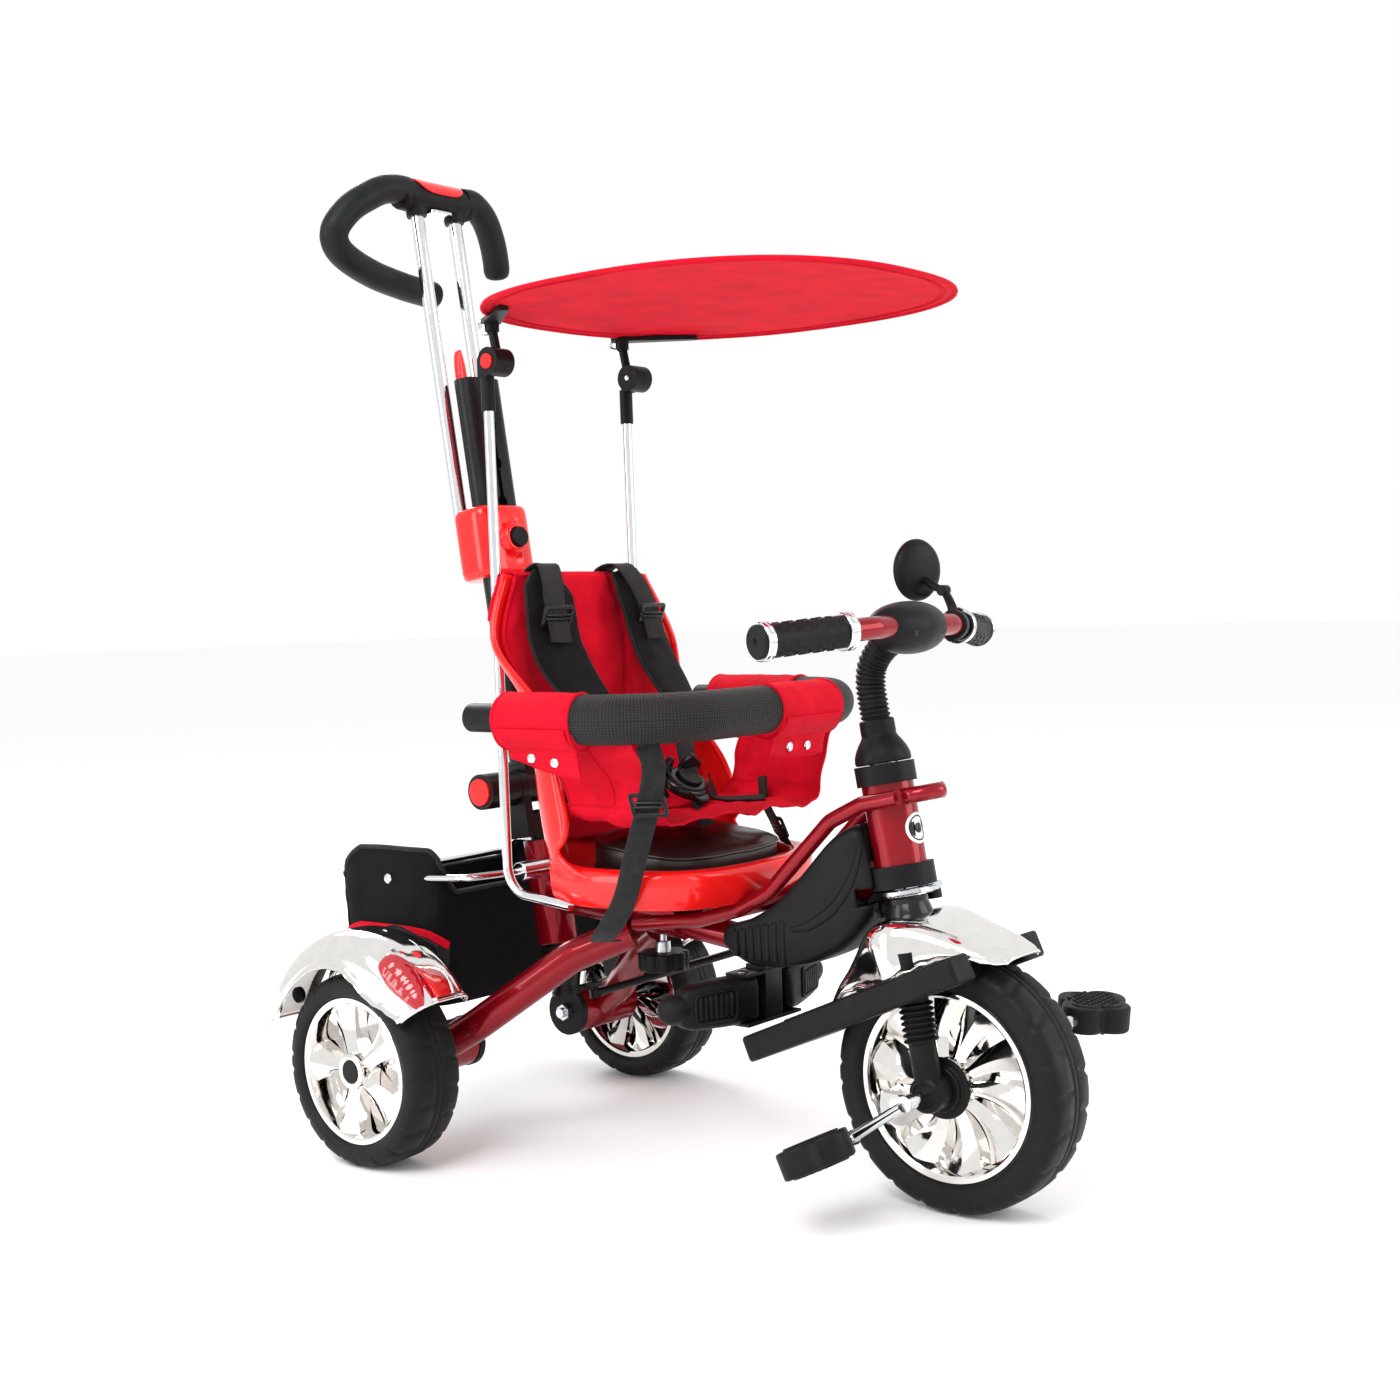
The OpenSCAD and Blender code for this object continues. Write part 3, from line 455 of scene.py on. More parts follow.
def modifier(o, kind, **props):
    mod = o.modifiers.new(kind.lower(), kind)
    for key, value in props.items():
        setattr(mod, key, value)
    return o


def bevelled(o, width, segments=3):
    return modifier(o, "BEVEL", width=width * MM, segments=segments, limit_method="ANGLE",
        angle_limit=radians(32), harden_normals=False)


def prism(name, outline, lo, hi, mat, m=REST, plane="YZ", bevel=1.5, segments=3):
    """Outline in a plane, extruded between lo and hi along the third axis, with rounded edges."""
    def point(q, h):
        return {"YZ": (h, q[0], q[1]), "XY": (q[0], q[1], h), "XZ": (q[0], h, q[1])}[plane]
    o = loft(name, [[point(q, lo) for q in outline], [point(q, hi) for q in outline]], mat, m, sharp=38)
    return bevelled(o, bevel, segments) if bevel else o


def rounded(points, radius, steps=6):
    """Polygon with its corners rounded by arcs."""
    out, n = [], len(points)
    for i in range(n):
        a, b, c = (Vector(points[(i + k) % n]).to_2d() for k in (-1, 0, 1))
        u, v = (a - b), (c - b)
        r = min(radius, 0.48 * u.length, 0.48 * v.length)
        start, end = b + u.normalized() * r, b + v.normalized() * r
        for k in range(steps + 1):
            f = k / steps
            out.append(tuple((1 - f) ** 2 * start + 2 * f * (1 - f) * b + f ** 2 * end))
    return out


def superellipse(a, b, power, n=64):
    out = []
    for k in range(n):
        c, s = cos(TAU * k / n), sin(TAU * k / n)
        out.append((a * copysign(abs(c) ** (2 / power), c), b * copysign(abs(s) ** (2 / power), s)))
    return out


def wobble(p, scale, amount, seed=0.0):
    return noise.noise(Vector(p) * scale + Vector((seed, seed * 1.7, -seed))) * amount


def add(o, body, replaced=()):
    """Hands a finished piece to the frame: parents it to the body it rides on and hides the CAD parts it
    replaces.
    """
    if body == "frame to hoop":
        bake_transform(o)
    else:
        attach(o, body)
    if replaced:
        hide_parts(*((replaced,) if isinstance(replaced, str) else replaced))
    return o


def paint_nodes(material, *nodes):
    for name in nodes:
        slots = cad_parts[name].material_slots
        for s in slots:
            s.material = M[material]


# ---------------------------------------------------------------- CAD nodes that keep their shape
paint_nodes("red", "lock_button_near", "lock_button_far", "elbow_button_near", "elbow_button_far")
paint_nodes("black", "hub_discs", "head_cups", "hoop_sockets", "lower_elbows", "canopy_arms",
    "handle_button", "front_hub", "buckle_button")
paint_nodes("mast", "push_column", "mast", "link_rod", "peg_bracket")
paint_nodes("chrome", "hoop_tube", "crank_axle")
paint_nodes("zinc", "rear_axles", "steerer", "steering_arm")

# ---------------------------------------------------------------- frame tubes
rail = [(-33.6, -217, 249), (-33.6, -304, 261), (-33, -357, 276), (-31, -397, 298), (-30, -473, 374),
    (-31, -512, 393), (-34, -582, 407)]
rail += [(-x, y, z) for x, y, z in reversed(rail)]
o = tube("frame_rail_tube", filleted(rail, 26), 8, "paint", n=32, side=(0, 0.5, 0.87), sharp=60)
add(o, "frame", replaced="frame_rails")
o = tube("main_tube_rear", [(0, -74, 272), (0, -262, 256)], 25, "paint", n=56, side=(1, 0, 0))
add(o, "frame", replaced="main_tube")
spar = filleted([(0, -250, 250), (0, -334, 240), (0, -440, 264), (0, -508, 325)], 60, 12)
add(tube("main_tube_spar", spar, 15, "paint", n=44, side=(1, 0, 0), sharp=60), "frame")
o = prism("seat_plate", rounded([(-40, -290), (40, -290), (40, -192), (-40, -192)], 8), 276, 287.5, "paint",
    plane="XY", bevel=1.5)
add(o, "frame")
o = lathe("head_tube_barrel", [(-2, 20), (-2, 25), (-1, 26), (85, 26), (86, 25), (86, 20)], "paint", STEER,
    "Z", n=64)
add(o, "frame", replaced="head_tube")
o = lathe("column_sleeve_tube", [(-182, 20.8), (-182, 22.2), (-181, 23), (-63, 23), (-62, 22.2),
    (-62, 20.8)], "paint", BAR, "Z", n=64, loop=True)
add(o, "frame", replaced="column_sleeve")
for side, word in SIDES:
    arm = filleted(sided(side, [(128, -8, 107), (118, -58, 138), (62, -148, 212), (24, -202, 238)]), 60, 12)
    add(tube("rear_fork_arm_" + word, arm, 18, "paint", n=48, side=(0, 0, 1), sharp=60), "frame",
        replaced="rear_fork" if side < 0 else ())
    barrel = sided(side, ((90, 12), (90, 26.5), (91, 27.5), (182, 27.5), (183, 26.5), (183, 12)))
    add(lathe("rear_fork_hub_" + word, barrel, "paint", centre=HUB, n=64), "frame")
    post = filleted(sided(side, [(113, -98, 828), (113, -104, 286), (113, -228, 276), (40, -228, 280)]), 32,
        10)
    add(tube("canopy_post_tube_" + word, post, 5.5, "chrome", n=28, side=(side, 0.3, 0.2), sharp=60),
        "frame", replaced="canopy_posts" if side < 0 else ())
    lug = sided(side, ((25, 6), (25, 10), (26, 11), (67, 11), (68, 10), (68, 4)))
    add(lathe("basket_rail_lug_" + word, lug, "chrome", centre=(0, -76, 300), n=32), "frame")
    leg = [(z, r) for z, r in ((250, 6), (250, 8), (687, 8), (688, 7), (688, 5))]
    add(lathe("handle_tube_" + word, leg, "chrome", BAR, "Z", (side * 30, 27, 0), n=44), "handle",
        replaced="handle_tubes" if side < 0 else ())
rail = [(-60, -76, 300), (-140, -64, 302), (-140, 130, 290), (140, 130, 290), (140, -64, 302), (60, -76,
    300)]
o = tube("basket_rail_tube", filleted(rail, 14), 4, "chrome", n=20, side=(0, 0, 1), sharp=60)
add(o, "frame", replaced="basket_rail")
bar = filleted([(-197, -515, 557), (-70, -556, 566), (70, -556, 566), (197, -515, 557)], 40, 12)
add(tube("handlebar_tube", bar, 11, "paint", n=40, side=(0, 0, 1), sharp=60), "steering",
    replaced="handlebar")


# ---------------------------------------------------------------- wheels
def tyre(name, centre, outer, rim, node_name, body):
    """Foam tyre with cross grooves at both shoulders."""
    w = 34.0
    half = [(-w + 4, rim), (-w + 1, rim + 2), (-w, rim + 8), (-w - 0.0, outer - 15), (-w + 0.8, outer - 9),
        (-w + 3, outer - 5), (-w + 7, outer - 2.2), (-w + 12, outer - 1.0), (-w + 19, outer - 0.4),
        (-6.0, outer - 0.1), (-4.0, outer - 1.6), (-2.0, outer - 0.1), (0.0, outer)]
    profile = half + [(-a, r) for a, r in reversed(half[:-1])]
    steps = 288
    rings = []
    for k in range(steps):
        t = TAU * k / steps
        ring = []
        for a, r in profile:
            shoulder = abs(a) > 9 and r > outer - 12
            phase = (k + (7 if a > 0 else 0) - int(abs(a) * 0.12)) % 14
            dip = {0: 2.6, 1: 1.6, 13: 1.0}.get(phase, 0.0) if shoulder else 0.0
            ring.append(turned("X", centre, a, r - dip, t))
        rings.append(ring)
    add(loft(name, rings, "tyre", loop=True, sharp=50), body, replaced=node_name)


def blade_ring(name, centre, count, inner, outer, widths, faces, swirl, mat, body, replaced=()):
    """Rim spokes as folded blades. widths and faces are (at hub, half way, at rim) in mm."""
    verts, quads = [], []
    stations = 9
    for b in range(count):
        start = len(verts)
        for i in range(stations):
            f = i / (stations - 1)
            r = inner + (outer - inner) * f
            lerp = lambda v: (v[0] * (1 - f) ** 2 + 2 * v[1] * f * (1 - f) + v[2] * f ** 2)
            w, h = lerp(widths), lerp(faces)
            t0 = TAU * b / count + radians(swirl) * f ** 1.5
            for a, s in ((h, 0.0), (h - 2.5, 0.45), (h - 7, 1.0), (-h + 7, 1.0), (-h + 2.5, 0.45),
                         (-h, 0.0), (-h + 2.5, -0.45), (-h + 7, -1.0), (h - 7, -1.0), (h - 2.5, -0.45)):
                verts.append(turned("X", centre, a, r, t0 + s * w / r))
        for i in range(stations - 1):
            for j in range(10):
                a, c = start + i * 10, start + (i + 1) * 10
                quads.append((a + j, a + (j + 1) % 10, c + (j + 1) % 10, c + j))
        quads.append(tuple(start + j for j in range(10)))
        quads.append(tuple(start + (stations - 1) * 10 + j for j in range(10)))
    add(build(name, verts, quads, mat, sharp=22), body, replaced)


def rim_barrel(name, centre, rim, half, mat, body, replaced=()):
    profile = [(-half, rim), (-half - 1.5, rim - 1.5), (-half - 1.5, rim - 6), (-half, rim - 8), (-half + 3,
        rim - 9), (-half + 9, rim - 11), (-4, rim - 13), (4, rim - 13), (half - 9, rim - 11), (half - 3,
        rim - 9), (half, rim - 8), (half + 1.5, rim - 6), (half + 1.5, rim - 1.5), (half, rim)]
    add(lathe(name, profile, mat, centre=centre, n=96, loop=True), body, replaced)


def rim_web(name, centre, inner, outer, depth, mat, body):
    """Thin dished disc behind the blades."""
    profile = [(-depth, inner), (-depth - 4, (inner + outer) / 2), (-2, outer), (2, outer), (depth + 4,
        (inner + outer) / 2), (depth, inner)]
    add(lathe(name, profile, mat, centre=centre, n=96), body)


tyre("front_tyre_foam", FRONT_AXLE, 125, 94, "front_tyre", "front_wheel")
rim_barrel("front_rim_barrel", FRONT_AXLE, 94, 29, "plated", "front_wheel", "front_rim")
rim_web("front_rim_web", FRONT_AXLE, 22, 84, 3, "plated", "front_wheel")
blade_ring("front_rim_blades", FRONT_AXLE, 10, 23, 86, (7.0, 9.5, 21.0), (27, 17, 26), 10, "plated",
    "front_wheel")
add(lathe("front_rim_hub", [(-30.5, 20), (-30.5, 25), (-27, 27), (-10, 28), (10, 28), (27, 27), (30.5, 25),
    (30.5, 20)], "plated", centre=FRONT_AXLE), "front_wheel")

for side, word in SIDES:
    body = "rear_wheel_" + word
    hub = (side * REAR_TRACK, 0, REAR_AXLE_Z)
    tyre("rear_tyre_foam_" + word, hub, 105, 80, "rear_tyre_" + word, body)
    rim_barrel("rear_rim_barrel_" + word, hub, 80, 29, "plated", body, "rear_rim_" + word)
    rim_web("rear_rim_web_" + word, hub, 15, 70, 2, "plated", body)
    outer_face = (side * (REAR_TRACK + 14), 0, REAR_AXLE_Z)
    blade_ring("rear_rim_spokes_" + word, outer_face, 5, 17, 74, (11.0, 8.0, 24.0), (16, 14.5, 15.5), 0,
        "plated", body)
    inner_face = (side * (REAR_TRACK - 15), 0, REAR_AXLE_Z)
    blade_ring("rear_rim_fan_" + word, inner_face, 10, 12, 74, (3.0, 5.0, 17.0), (13, 12, 13), 8, "plated",
        body)
    cap = sided(side, ((8, 19), (30, 20), (32.5, 19), (33.5, 17), (33.5, 13.5), (32.8, 12.6)))
    add(lathe("rear_cap_ring_" + word, cap, "plated", centre=hub), body)
    plug = sided(side, ((30, 12.4), (33.2, 12.4), (34.0, 11.4), (34.2, 5), (34.3, 0.4)))
    add(lathe("rear_cap_plug_" + word, plug, "rubber", centre=hub), body)

# ---------------------------------------------------------------- pedals
CRANK = Vector((0, 66, -45)).normalized() * 80
PEDAL_X = 151


def lobes(scale=1.0):
    """Outline of the four-lobed pedal in its own plane (x out, y fore and aft)."""
    pts = []
    for k in range(120):
        t = TAU * k / 120
        c, s = cos(t), sin(t)
        reach = []
        for x, y, r in ((23.7, 0, 21), (-23.7, 0, 21), (0, 17, 21), (0, -17, 21)):
            along, off = x * c + y * s, x * s - y * c
            reach.append(along + sqrt(r * r - off * off) if r > abs(off) else 0)
        pts.append((PEDAL_X + scale * max(reach) * c, scale * max(reach) * s))
    soft = []
    for k in range(120):
        near = [pts[(k + j) % 120] for j in (-1, 0, 1)]
        soft.append((sum(q[0] for q in near) / 3, sum(q[1] for q in near) / 3))
    return soft


for side, word, tilt in ((-1, "near", -26), (1, "far", 6)):
    foot = Vector(FRONT_AXLE) - CRANK * side
    frame_m = place(foot.x, foot.y, foot.z, tilt) @ Matrix.Diagonal((side, 1, 1, 1))
    body = "pedal_" + word
    o = prism("pedal_block_" + word, lobes(), -13, 13, "rubber", frame_m, "XY", bevel=2.5)
    add(o, body, body)
    for face in (-1, 1):
        base = [(x, y, face * 12.6) for x, y in lobes(0.80)]
        top = [(x, y, face * 14.6) for x, y in lobes(0.76)]
        inner = [(x, y, face * 14.6) for x, y in lobes(0.70)]
        floor = [(x, y, face * 13.4) for x, y in lobes(0.67)]
        add(loft("pedal_pad_%s_%s" % (word, "up" if face > 0 else "down"), [base, top, inner, floor],
            "rubber", frame_m, sharp=30), body)
        verts, quads = [], []
        for i in range(-4, 5):
            for j in range(-3, 4):
                x, y = PEDAL_X + i * 6.6 + (j % 2) * 3.3, j * 6.4
                if ((x - PEDAL_X) / 30.0) ** 2 + (y / 24.0) ** 2 > 1:
                    continue
                b = len(verts)
                for z, h in ((13.2, 1.9), (14.9, 1.3)):
                    verts += [(x + h * cx, y + h * cy, face * z) for cx, cy in ((-1, -1), (1, -1), (1, 1),
                        (-1, 1))]
                quads += wall(b)
                quads.append((b + 4, b + 5, b + 6, b + 7))
        add(build("pedal_studs_%s_%s" % (word, "up" if face > 0 else "down"), verts, quads, "rubber",
            frame_m, sharp=25), body)

# ---------------------------------------------------------------- fork, fender and foot plate
LEG_Y = -25.8
FOOT_Z = -210.7
crown = [(-75, 24), (-66, 25.5), (-58, 26), (-50, 25.2), (-38, 22.2), (-34, 20.6), (-33, 20.8), (-29, 20.8),
    (-27.5, 19.6), (-27, 15)]
add(lathe("fork_crown", crown, "gloss_black", STEER, "Z"), "steering", replaced="fork")
o = prism("fork_bridge", rounded([(-64, -38), (64, -38), (64, 14), (-64, 14)], 14), -84, -70, "black",
    STEER, "XY", bevel=3)
add(o, "steering")
for side, word in SIDES:
    profile = [(-200, 13.0), (-190, 13.6), (-172, 13.2), (-164, 13.2)]
    for k in range(7):
        z = -162 + 5.6 * k
        profile += [(z, 13.4), (z + 1.2, 16.6), (z + 2.6, 17.0), (z + 3.6, 15.6), (z + 4.6, 13.4)]
    profile += [(-120, 13.2), (-76, 13.2)]
    add(lathe("fork_leg_" + word, profile, "black", STEER, "Z", (side * 55, LEG_Y, 0), n=40, sharp=60),
        "steering")
    knuckle = sided(side, ((42.5, 9), (42.5, 15.5), (44, 17.4), (47, 18), (62, 18), (65.5, 17.2),
        (67.5, 15), (68, 12), (66.5, 11), (66.5, 6)))
    add(lathe("fork_knuckle_" + word, knuckle, "black", STEER, "X", (0, LEG_Y, FOOT_Z)), "steering")
    flange = sided(side, ((31.5, 10), (31.5, 29), (33, 30), (34.5, 29.6), (35.5, 27.8), (35.5, 24),
        (36.5, 22.6), (39.5, 22.4), (41, 21), (41.2, 8)))
    add(lathe("front_hub_flange_" + word, flange, "black", centre=FRONT_AXLE), "front_wheel",
        replaced="front_hub" if side < 0 else ())

# fender: (angle from straight ahead, radius, half width, side drop)
FENDER = [(61, 150, 30, 3), (64, 150, 40, 6), (70, 150, 47, 10), (77, 151, 51, 15), (84, 153, 54, 22),
    (91, 157, 59, 32), (98, 163, 66, 44), (105, 167, 72, 54), (112, 167, 70, 58), (119, 161, 62, 50),
    (126, 154, 54, 36), (134, 149, 48, 22), (143, 147, 44, 12), (152, 145, 40, 7)]


def fender_rings(grow):
    rings = []
    for q in smooth_path([(a, r, w) for a, r, w, d in FENDER], 4):
        f = (q.x - FENDER[0][0]) / (FENDER[-1][0] - FENDER[0][0])
        drop = smooth_drop(f)
        a = radians(q.x)
        ring = []
        for j in range(25):
            s = -1 + 2 * j / 24
            x = (q.z + grow) * copysign(abs(sin(s * pi / 2)) ** 0.9, s)
            fall = drop * (1 - cos(s * pi / 2)) ** (1.35 + drop / 22) + 2.0 * s * s
            r = q.y + grow - fall
            ring.append((x, FRONT_AXLE[1] - r * cos(a), FRONT_AXLE[2] + r * sin(a)))
        rings.append(ring)
    return rings


def smooth_drop(f):
    table = [d for a, r, w, d in FENDER]
    angles = [(a - FENDER[0][0]) / (FENDER[-1][0] - FENDER[0][0]) for a, r, w, d in FENDER]
    for i in range(len(angles) - 1):
        if f <= angles[i + 1] or i == len(angles) - 2:
            k = (f - angles[i]) / (angles[i + 1] - angles[i])
            k = k * k * (3 - 2 * k)
            return table[i] + (table[i + 1] - table[i]) * min(1, max(0, k))


o = loft("fender_shell", fender_rings(0), "plated", wrap=False, sharp=70)
modifier(o, "SOLIDIFY", thickness=2.6 * MM, offset=-1)
modifier(o, "SUBSURF", levels=1, render_levels=1)
add(o, "steering", replaced="front_fender")
edge = [r[0] for r in fender_rings(0)] + [Vector(p) for p in fender_rings(0)[-1][1:]] + [r[-1]
    for r in reversed(fender_rings(0)[:-1])] + [Vector(p) for p in reversed(fender_rings(0)[0][1:-1])]
o = bead("fender_lip", [Vector(p) for p in edge], 1.9, "plated", lambda p, t: t.cross(Vector((0.3, 0.2,
    0.9))).normalized(), 8)
add(o, "steering")

PLATE = place(0, -638, 265, -23.5)
outline = [(-85, 2), (-80, 0), (-52, 0), (-46.5, 4), (-46.5, 169)]
outline += [(46.5 * cos(radians(a)), 169 + 46.5 * sin(radians(a))) for a in range(170, 9, -10)]
outline += [(46.5, 169), (46.5, 4), (52, 0), (80, 0), (85, 2), (85, 252), (80, 268), (62, 277), (-62, 277),
    (-80, 268), (-85, 252)]
o = prism("foot_plate_body", outline, -28, -1.5, "black", PLATE, "XY", bevel=5, segments=4)
add(o, "steering", replaced="foot_plate")
for side, word in SIDES:
    verts, quads = [], []
    for k in range(22):
        y = 26 + 8.6 * k
        for x, z in ((52.5, -2.5), (79, -2.5), (79, -0.4), (52.5, -0.4)):
            for dy in (0, 3.6):
                verts.append((side * x, y + dy, z))
        b = 8 * k
        quads += [(b, b + 1, b + 3, b + 2), (b + 2, b + 3, b + 5, b + 4), (b + 4, b + 5, b + 7, b + 6),
            (b + 6, b + 7, b + 1, b), (b, b + 2, b + 4, b + 6), (b + 1, b + 7, b + 5, b + 3)]
    o = bevelled(build("foot_plate_ribs_" + word, verts, quads, "rubber", PLATE), 0.7, 2)
    add(o, "steering")

# ---------------------------------------------------------------- stem, bar cover, grips, mirror
bell = [(104.8, 26), (105.5, 27.6), (108, 28.2), (113, 27.6), (119, 25.4), (125, 22), (130, 18.6),
    (132, 17.6), (133, 17.2), (134, 17.6), (147, 17.4), (148.5, 16), (149, 13)]
add(lathe("stem_bell", bell, "black", STEER, "Z"), "steering", "stem_gaiter")
path = smooth_path([(0, -512, 468), (0, -507.5, 490), (0, -505, 511), (0, -508, 529), (0, -519, 544),
    (0, -533, 554.5)], 30)
lengths = [0.0]
for a, b in zip(path, path[1:]):
    lengths.append(lengths[-1] + (b - a).length)


def bellows(f):
    s = lengths[min(len(lengths) - 1, round(f * (len(lengths) - 1)))]
    return 12.9 + 2.3 * (0.5 + 0.5 * cos(TAU * s / 4.9)) ** 0.7


add(tube("stem_bellows", path, bellows, "rubber", n=32, side=(1, 0, 0), sharp=80), "steering")

pod = []
for k in range(33):
    a = radians(-90 + 180 * k / 32)
    pod.append((53 * sin(a), max(0.4, 26.2 * cos(a) ** 0.62)))
rings = []
for a, r in pod:
    ring = []
    for k in range(64):
        t = TAU * k / 64
        c, s = cos(t), sin(t)
        bulge = 1.0 + 0.05 * (1 - c) * (1 - abs(a) / 53)
        ring.append((a, -551 + r * c * bulge * 1.02 + 0.06 * (abs(a) / 53) ** 2 * 60, 564.5 + r * s * 0.99))
    rings.append(ring)
add(loft("bar_cover_pod", rings, "black", sharp=60), "steering", replaced="bar_cover")
seam = [(x, -551 - 25.6 * sqrt(max(0, 1 - (x / 53) ** 2)) * 1.06, 570 - 0.1 * abs(x)) for x in range(-50,
    51, 4)]
add(tube("bar_cover_seam", seam, 0.7, "gloss_black", n=8, side=(0, 0, 1)), "steering")
for x in (-26, 22):
    screw = [(-27.6, 0.4), (-27.6, 2.6), (-26.2, 3.4), (-22, 3.4)]
    add(lathe("bar_cover_screw_%s" % ("a" if x < 0 else "b"), [(a * (1 - (abs(x) / 90) ** 2), r) for a,
        r in screw], "gloss_black", axis="Y", centre=(x, -551, 560), n=24), "steering")

GRIP_U = (Vector((197, -515, 557)) - Vector((70, -556, 566))).normalized()
GRIP_END = Vector((197, -515, 557))
for side, word in SIDES:
    flip = Matrix.Diagonal((side, 1, 1, 1))
    s_dir = GRIP_U.cross(Vector((0, 0, 1))).normalized()
    u_dir = GRIP_U.cross(s_dir)

    def grip_rings(profile, fn=None, n=72):
        rings = []
        for a, r in profile:
            ring = []
            for k in range(n):
                t = TAU * k / n
                q = r + (fn(a, t) if fn else 0.0)
                ring.append(GRIP_END + GRIP_U * a + s_dir * q * cos(t) + u_dir * q * sin(t))
            rings.append(ring)
        return rings

    def tread(a, t):
        if not -84 < a < -18:
            return 0.0
        wave = cos(9 * t + (pi if int((a + 84) / 8.2) % 2 else 0.0))
        return 0.95 if wave > 0.25 and (a + 84) % 8.2 > 1.6 and abs(sin(t)) > 0.35 else 0.0

    m = REST @ flip
    body_profile = [(-95, 13.5)] + [(-94.5 + 0.82 * k, 15.4) for k in range(104)] + [(-9, 13.5)]
    add(loft("grip_sleeve_" + word, grip_rings(body_profile, tread), "rubber", m, sharp=40), "steering",
        replaced="grips" if side < 0 else ())
    for lo, hi, tag in ((-105, -94.5, "inner"), (-9.5, -0.5, "outer")):
        ring_profile = [(lo, 14), (lo, 17.6), (lo + 1, 18.5), (lo + 3, 18.5), (lo + 3.6, 17.4), (hi - 3.4,
            17.4), (hi - 3, 18.3), (hi - 1, 18.3), (hi, 17.4), (hi, 14)]
        add(loft("grip_ring_%s_%s" % (tag, word), grip_rings(ring_profile), "chrome", m, sharp=30),
            "steering")
    cap = [(-1, 16), (1.4, 16), (2.6, 14.8), (2.9, 11), (2.9, 3.4), (1.0, 2.6), (0.6, 0.5)]
    add(loft("grip_cap_" + word, grip_rings(cap), "rubber", m, sharp=30), "steering")

MIRROR = (place(102, -500, 622) @ Matrix.Rotation(radians(-20), 4, "Z") @ Matrix.Diagonal((0.92, 1, 1.0,
    1)))
housing = [(5.2, 27), (6.0, 28.5), (6.0, 31), (4.8, 32), (2.5, 32.1), (-0.5, 30.5), (-3.5, 26.5),
    (-5.4, 20), (-6.4, 10), (-6.7, 0.5)]
add(lathe("mirror_shell", housing, "black", MIRROR, "Y", n=64, sharp=60), "mirror", replaced="mirror_head")
add(lathe("mirror_pane", [(4.6, 0.5), (5.0, 14), (5.3, 27.6), (4.2, 28.4)], "mirror", MIRROR, "Y", n=64),
    "mirror")
arm = smooth_path([(96, -533, 600), (97.5, -524, 603), (101, -512, 609), (103, -503, 613)], 6)
add(tube("mirror_arm", arm, lambda f: 4.6 - 1.6 * abs(2 * f - 1), "black", n=16), "mirror")
add(lathe("mirror_knuckle", [(-6, 0.5), (-6, 4.6), (-5, 5.6), (5, 5.6), (6, 4.6), (6, 0.5)], "black",
    centre=(96, -533, 600), n=28), "mirror")
stem = smooth_path([(84, -551, 572), (87, -548, 582), (92, -541, 591), (95.5, -535, 597.5)], 6)
add(tube("mirror_stem", stem, lambda f: 5.4 - 1.4 * f, "black", n=16), "steering")
clamp = [(-6.5, 11), (-6.5, 13.6), (-5.5, 14.8), (5.5, 14.8), (6.5, 13.6), (6.5, 11)]
clamp_m = place(84, -551.5, 565) @ Matrix.Rotation(radians(18), 4, "Z")
add(lathe("mirror_clamp", clamp, "black", clamp_m, n=36, loop=True), "steering")

# ---------------------------------------------------------------- fork fittings, head badge
for side, word in SIDES:
    bolt = [(-19.5, 9.5), (-17, 9.5), (-17, 12), (-14, 12)]
    add(lathe("arm_bolt_" + word, [(z, r * 0.62) for z, r in bolt], "zinc", STEER, "Z", (side * 15, -15, 0),
        n=6, sharp=20), "steering")
washer = [(-26.6, 15), (-26.6, 27), (-25.8, 27.6), (-24.8, 27), (-24.8, 24), (-21, 24), (-21, 28.6),
    (-20.2, 29.4), (-19.3, 28.6), (-19.3, 15)]
add(lathe("arm_washers", washer, "chrome", STEER, "Z", n=48, loop=True), "steering")
BADGE = STEER @ Matrix.Translation((0, 0, 37))


def on_head(r, rise):
    """Ring of a disc that is bent round the head tube's front."""
    ring = []
    for k in range(48):
        t = TAU * k / 48
        a = r * cos(t) / 26.0
        ring.append(((26.0 + rise) * sin(a), -(26.0 + rise) * cos(a), r * sin(t)))
    return ring


for tag, mat, spans in (("plate", "white", [(15.5, -0.2), (15.5, 0.9), (14.8, 1.2), (12, 1.2), (0.2, 1.2)]),
                        ("ring", "gloss_black", [(12.6, 1.1), (12.6, 1.5), (11.2, 1.5), (11.2, 1.1)]),
                        ("centre", "gloss_black", [(5.0, 1.1), (5.0, 1.7), (4.4, 1.9), (0.2, 1.9)])):
    add(loft("head_badge_" + tag, [on_head(r, h) for r, h in spans], mat, BADGE, sharp=30), "frame")

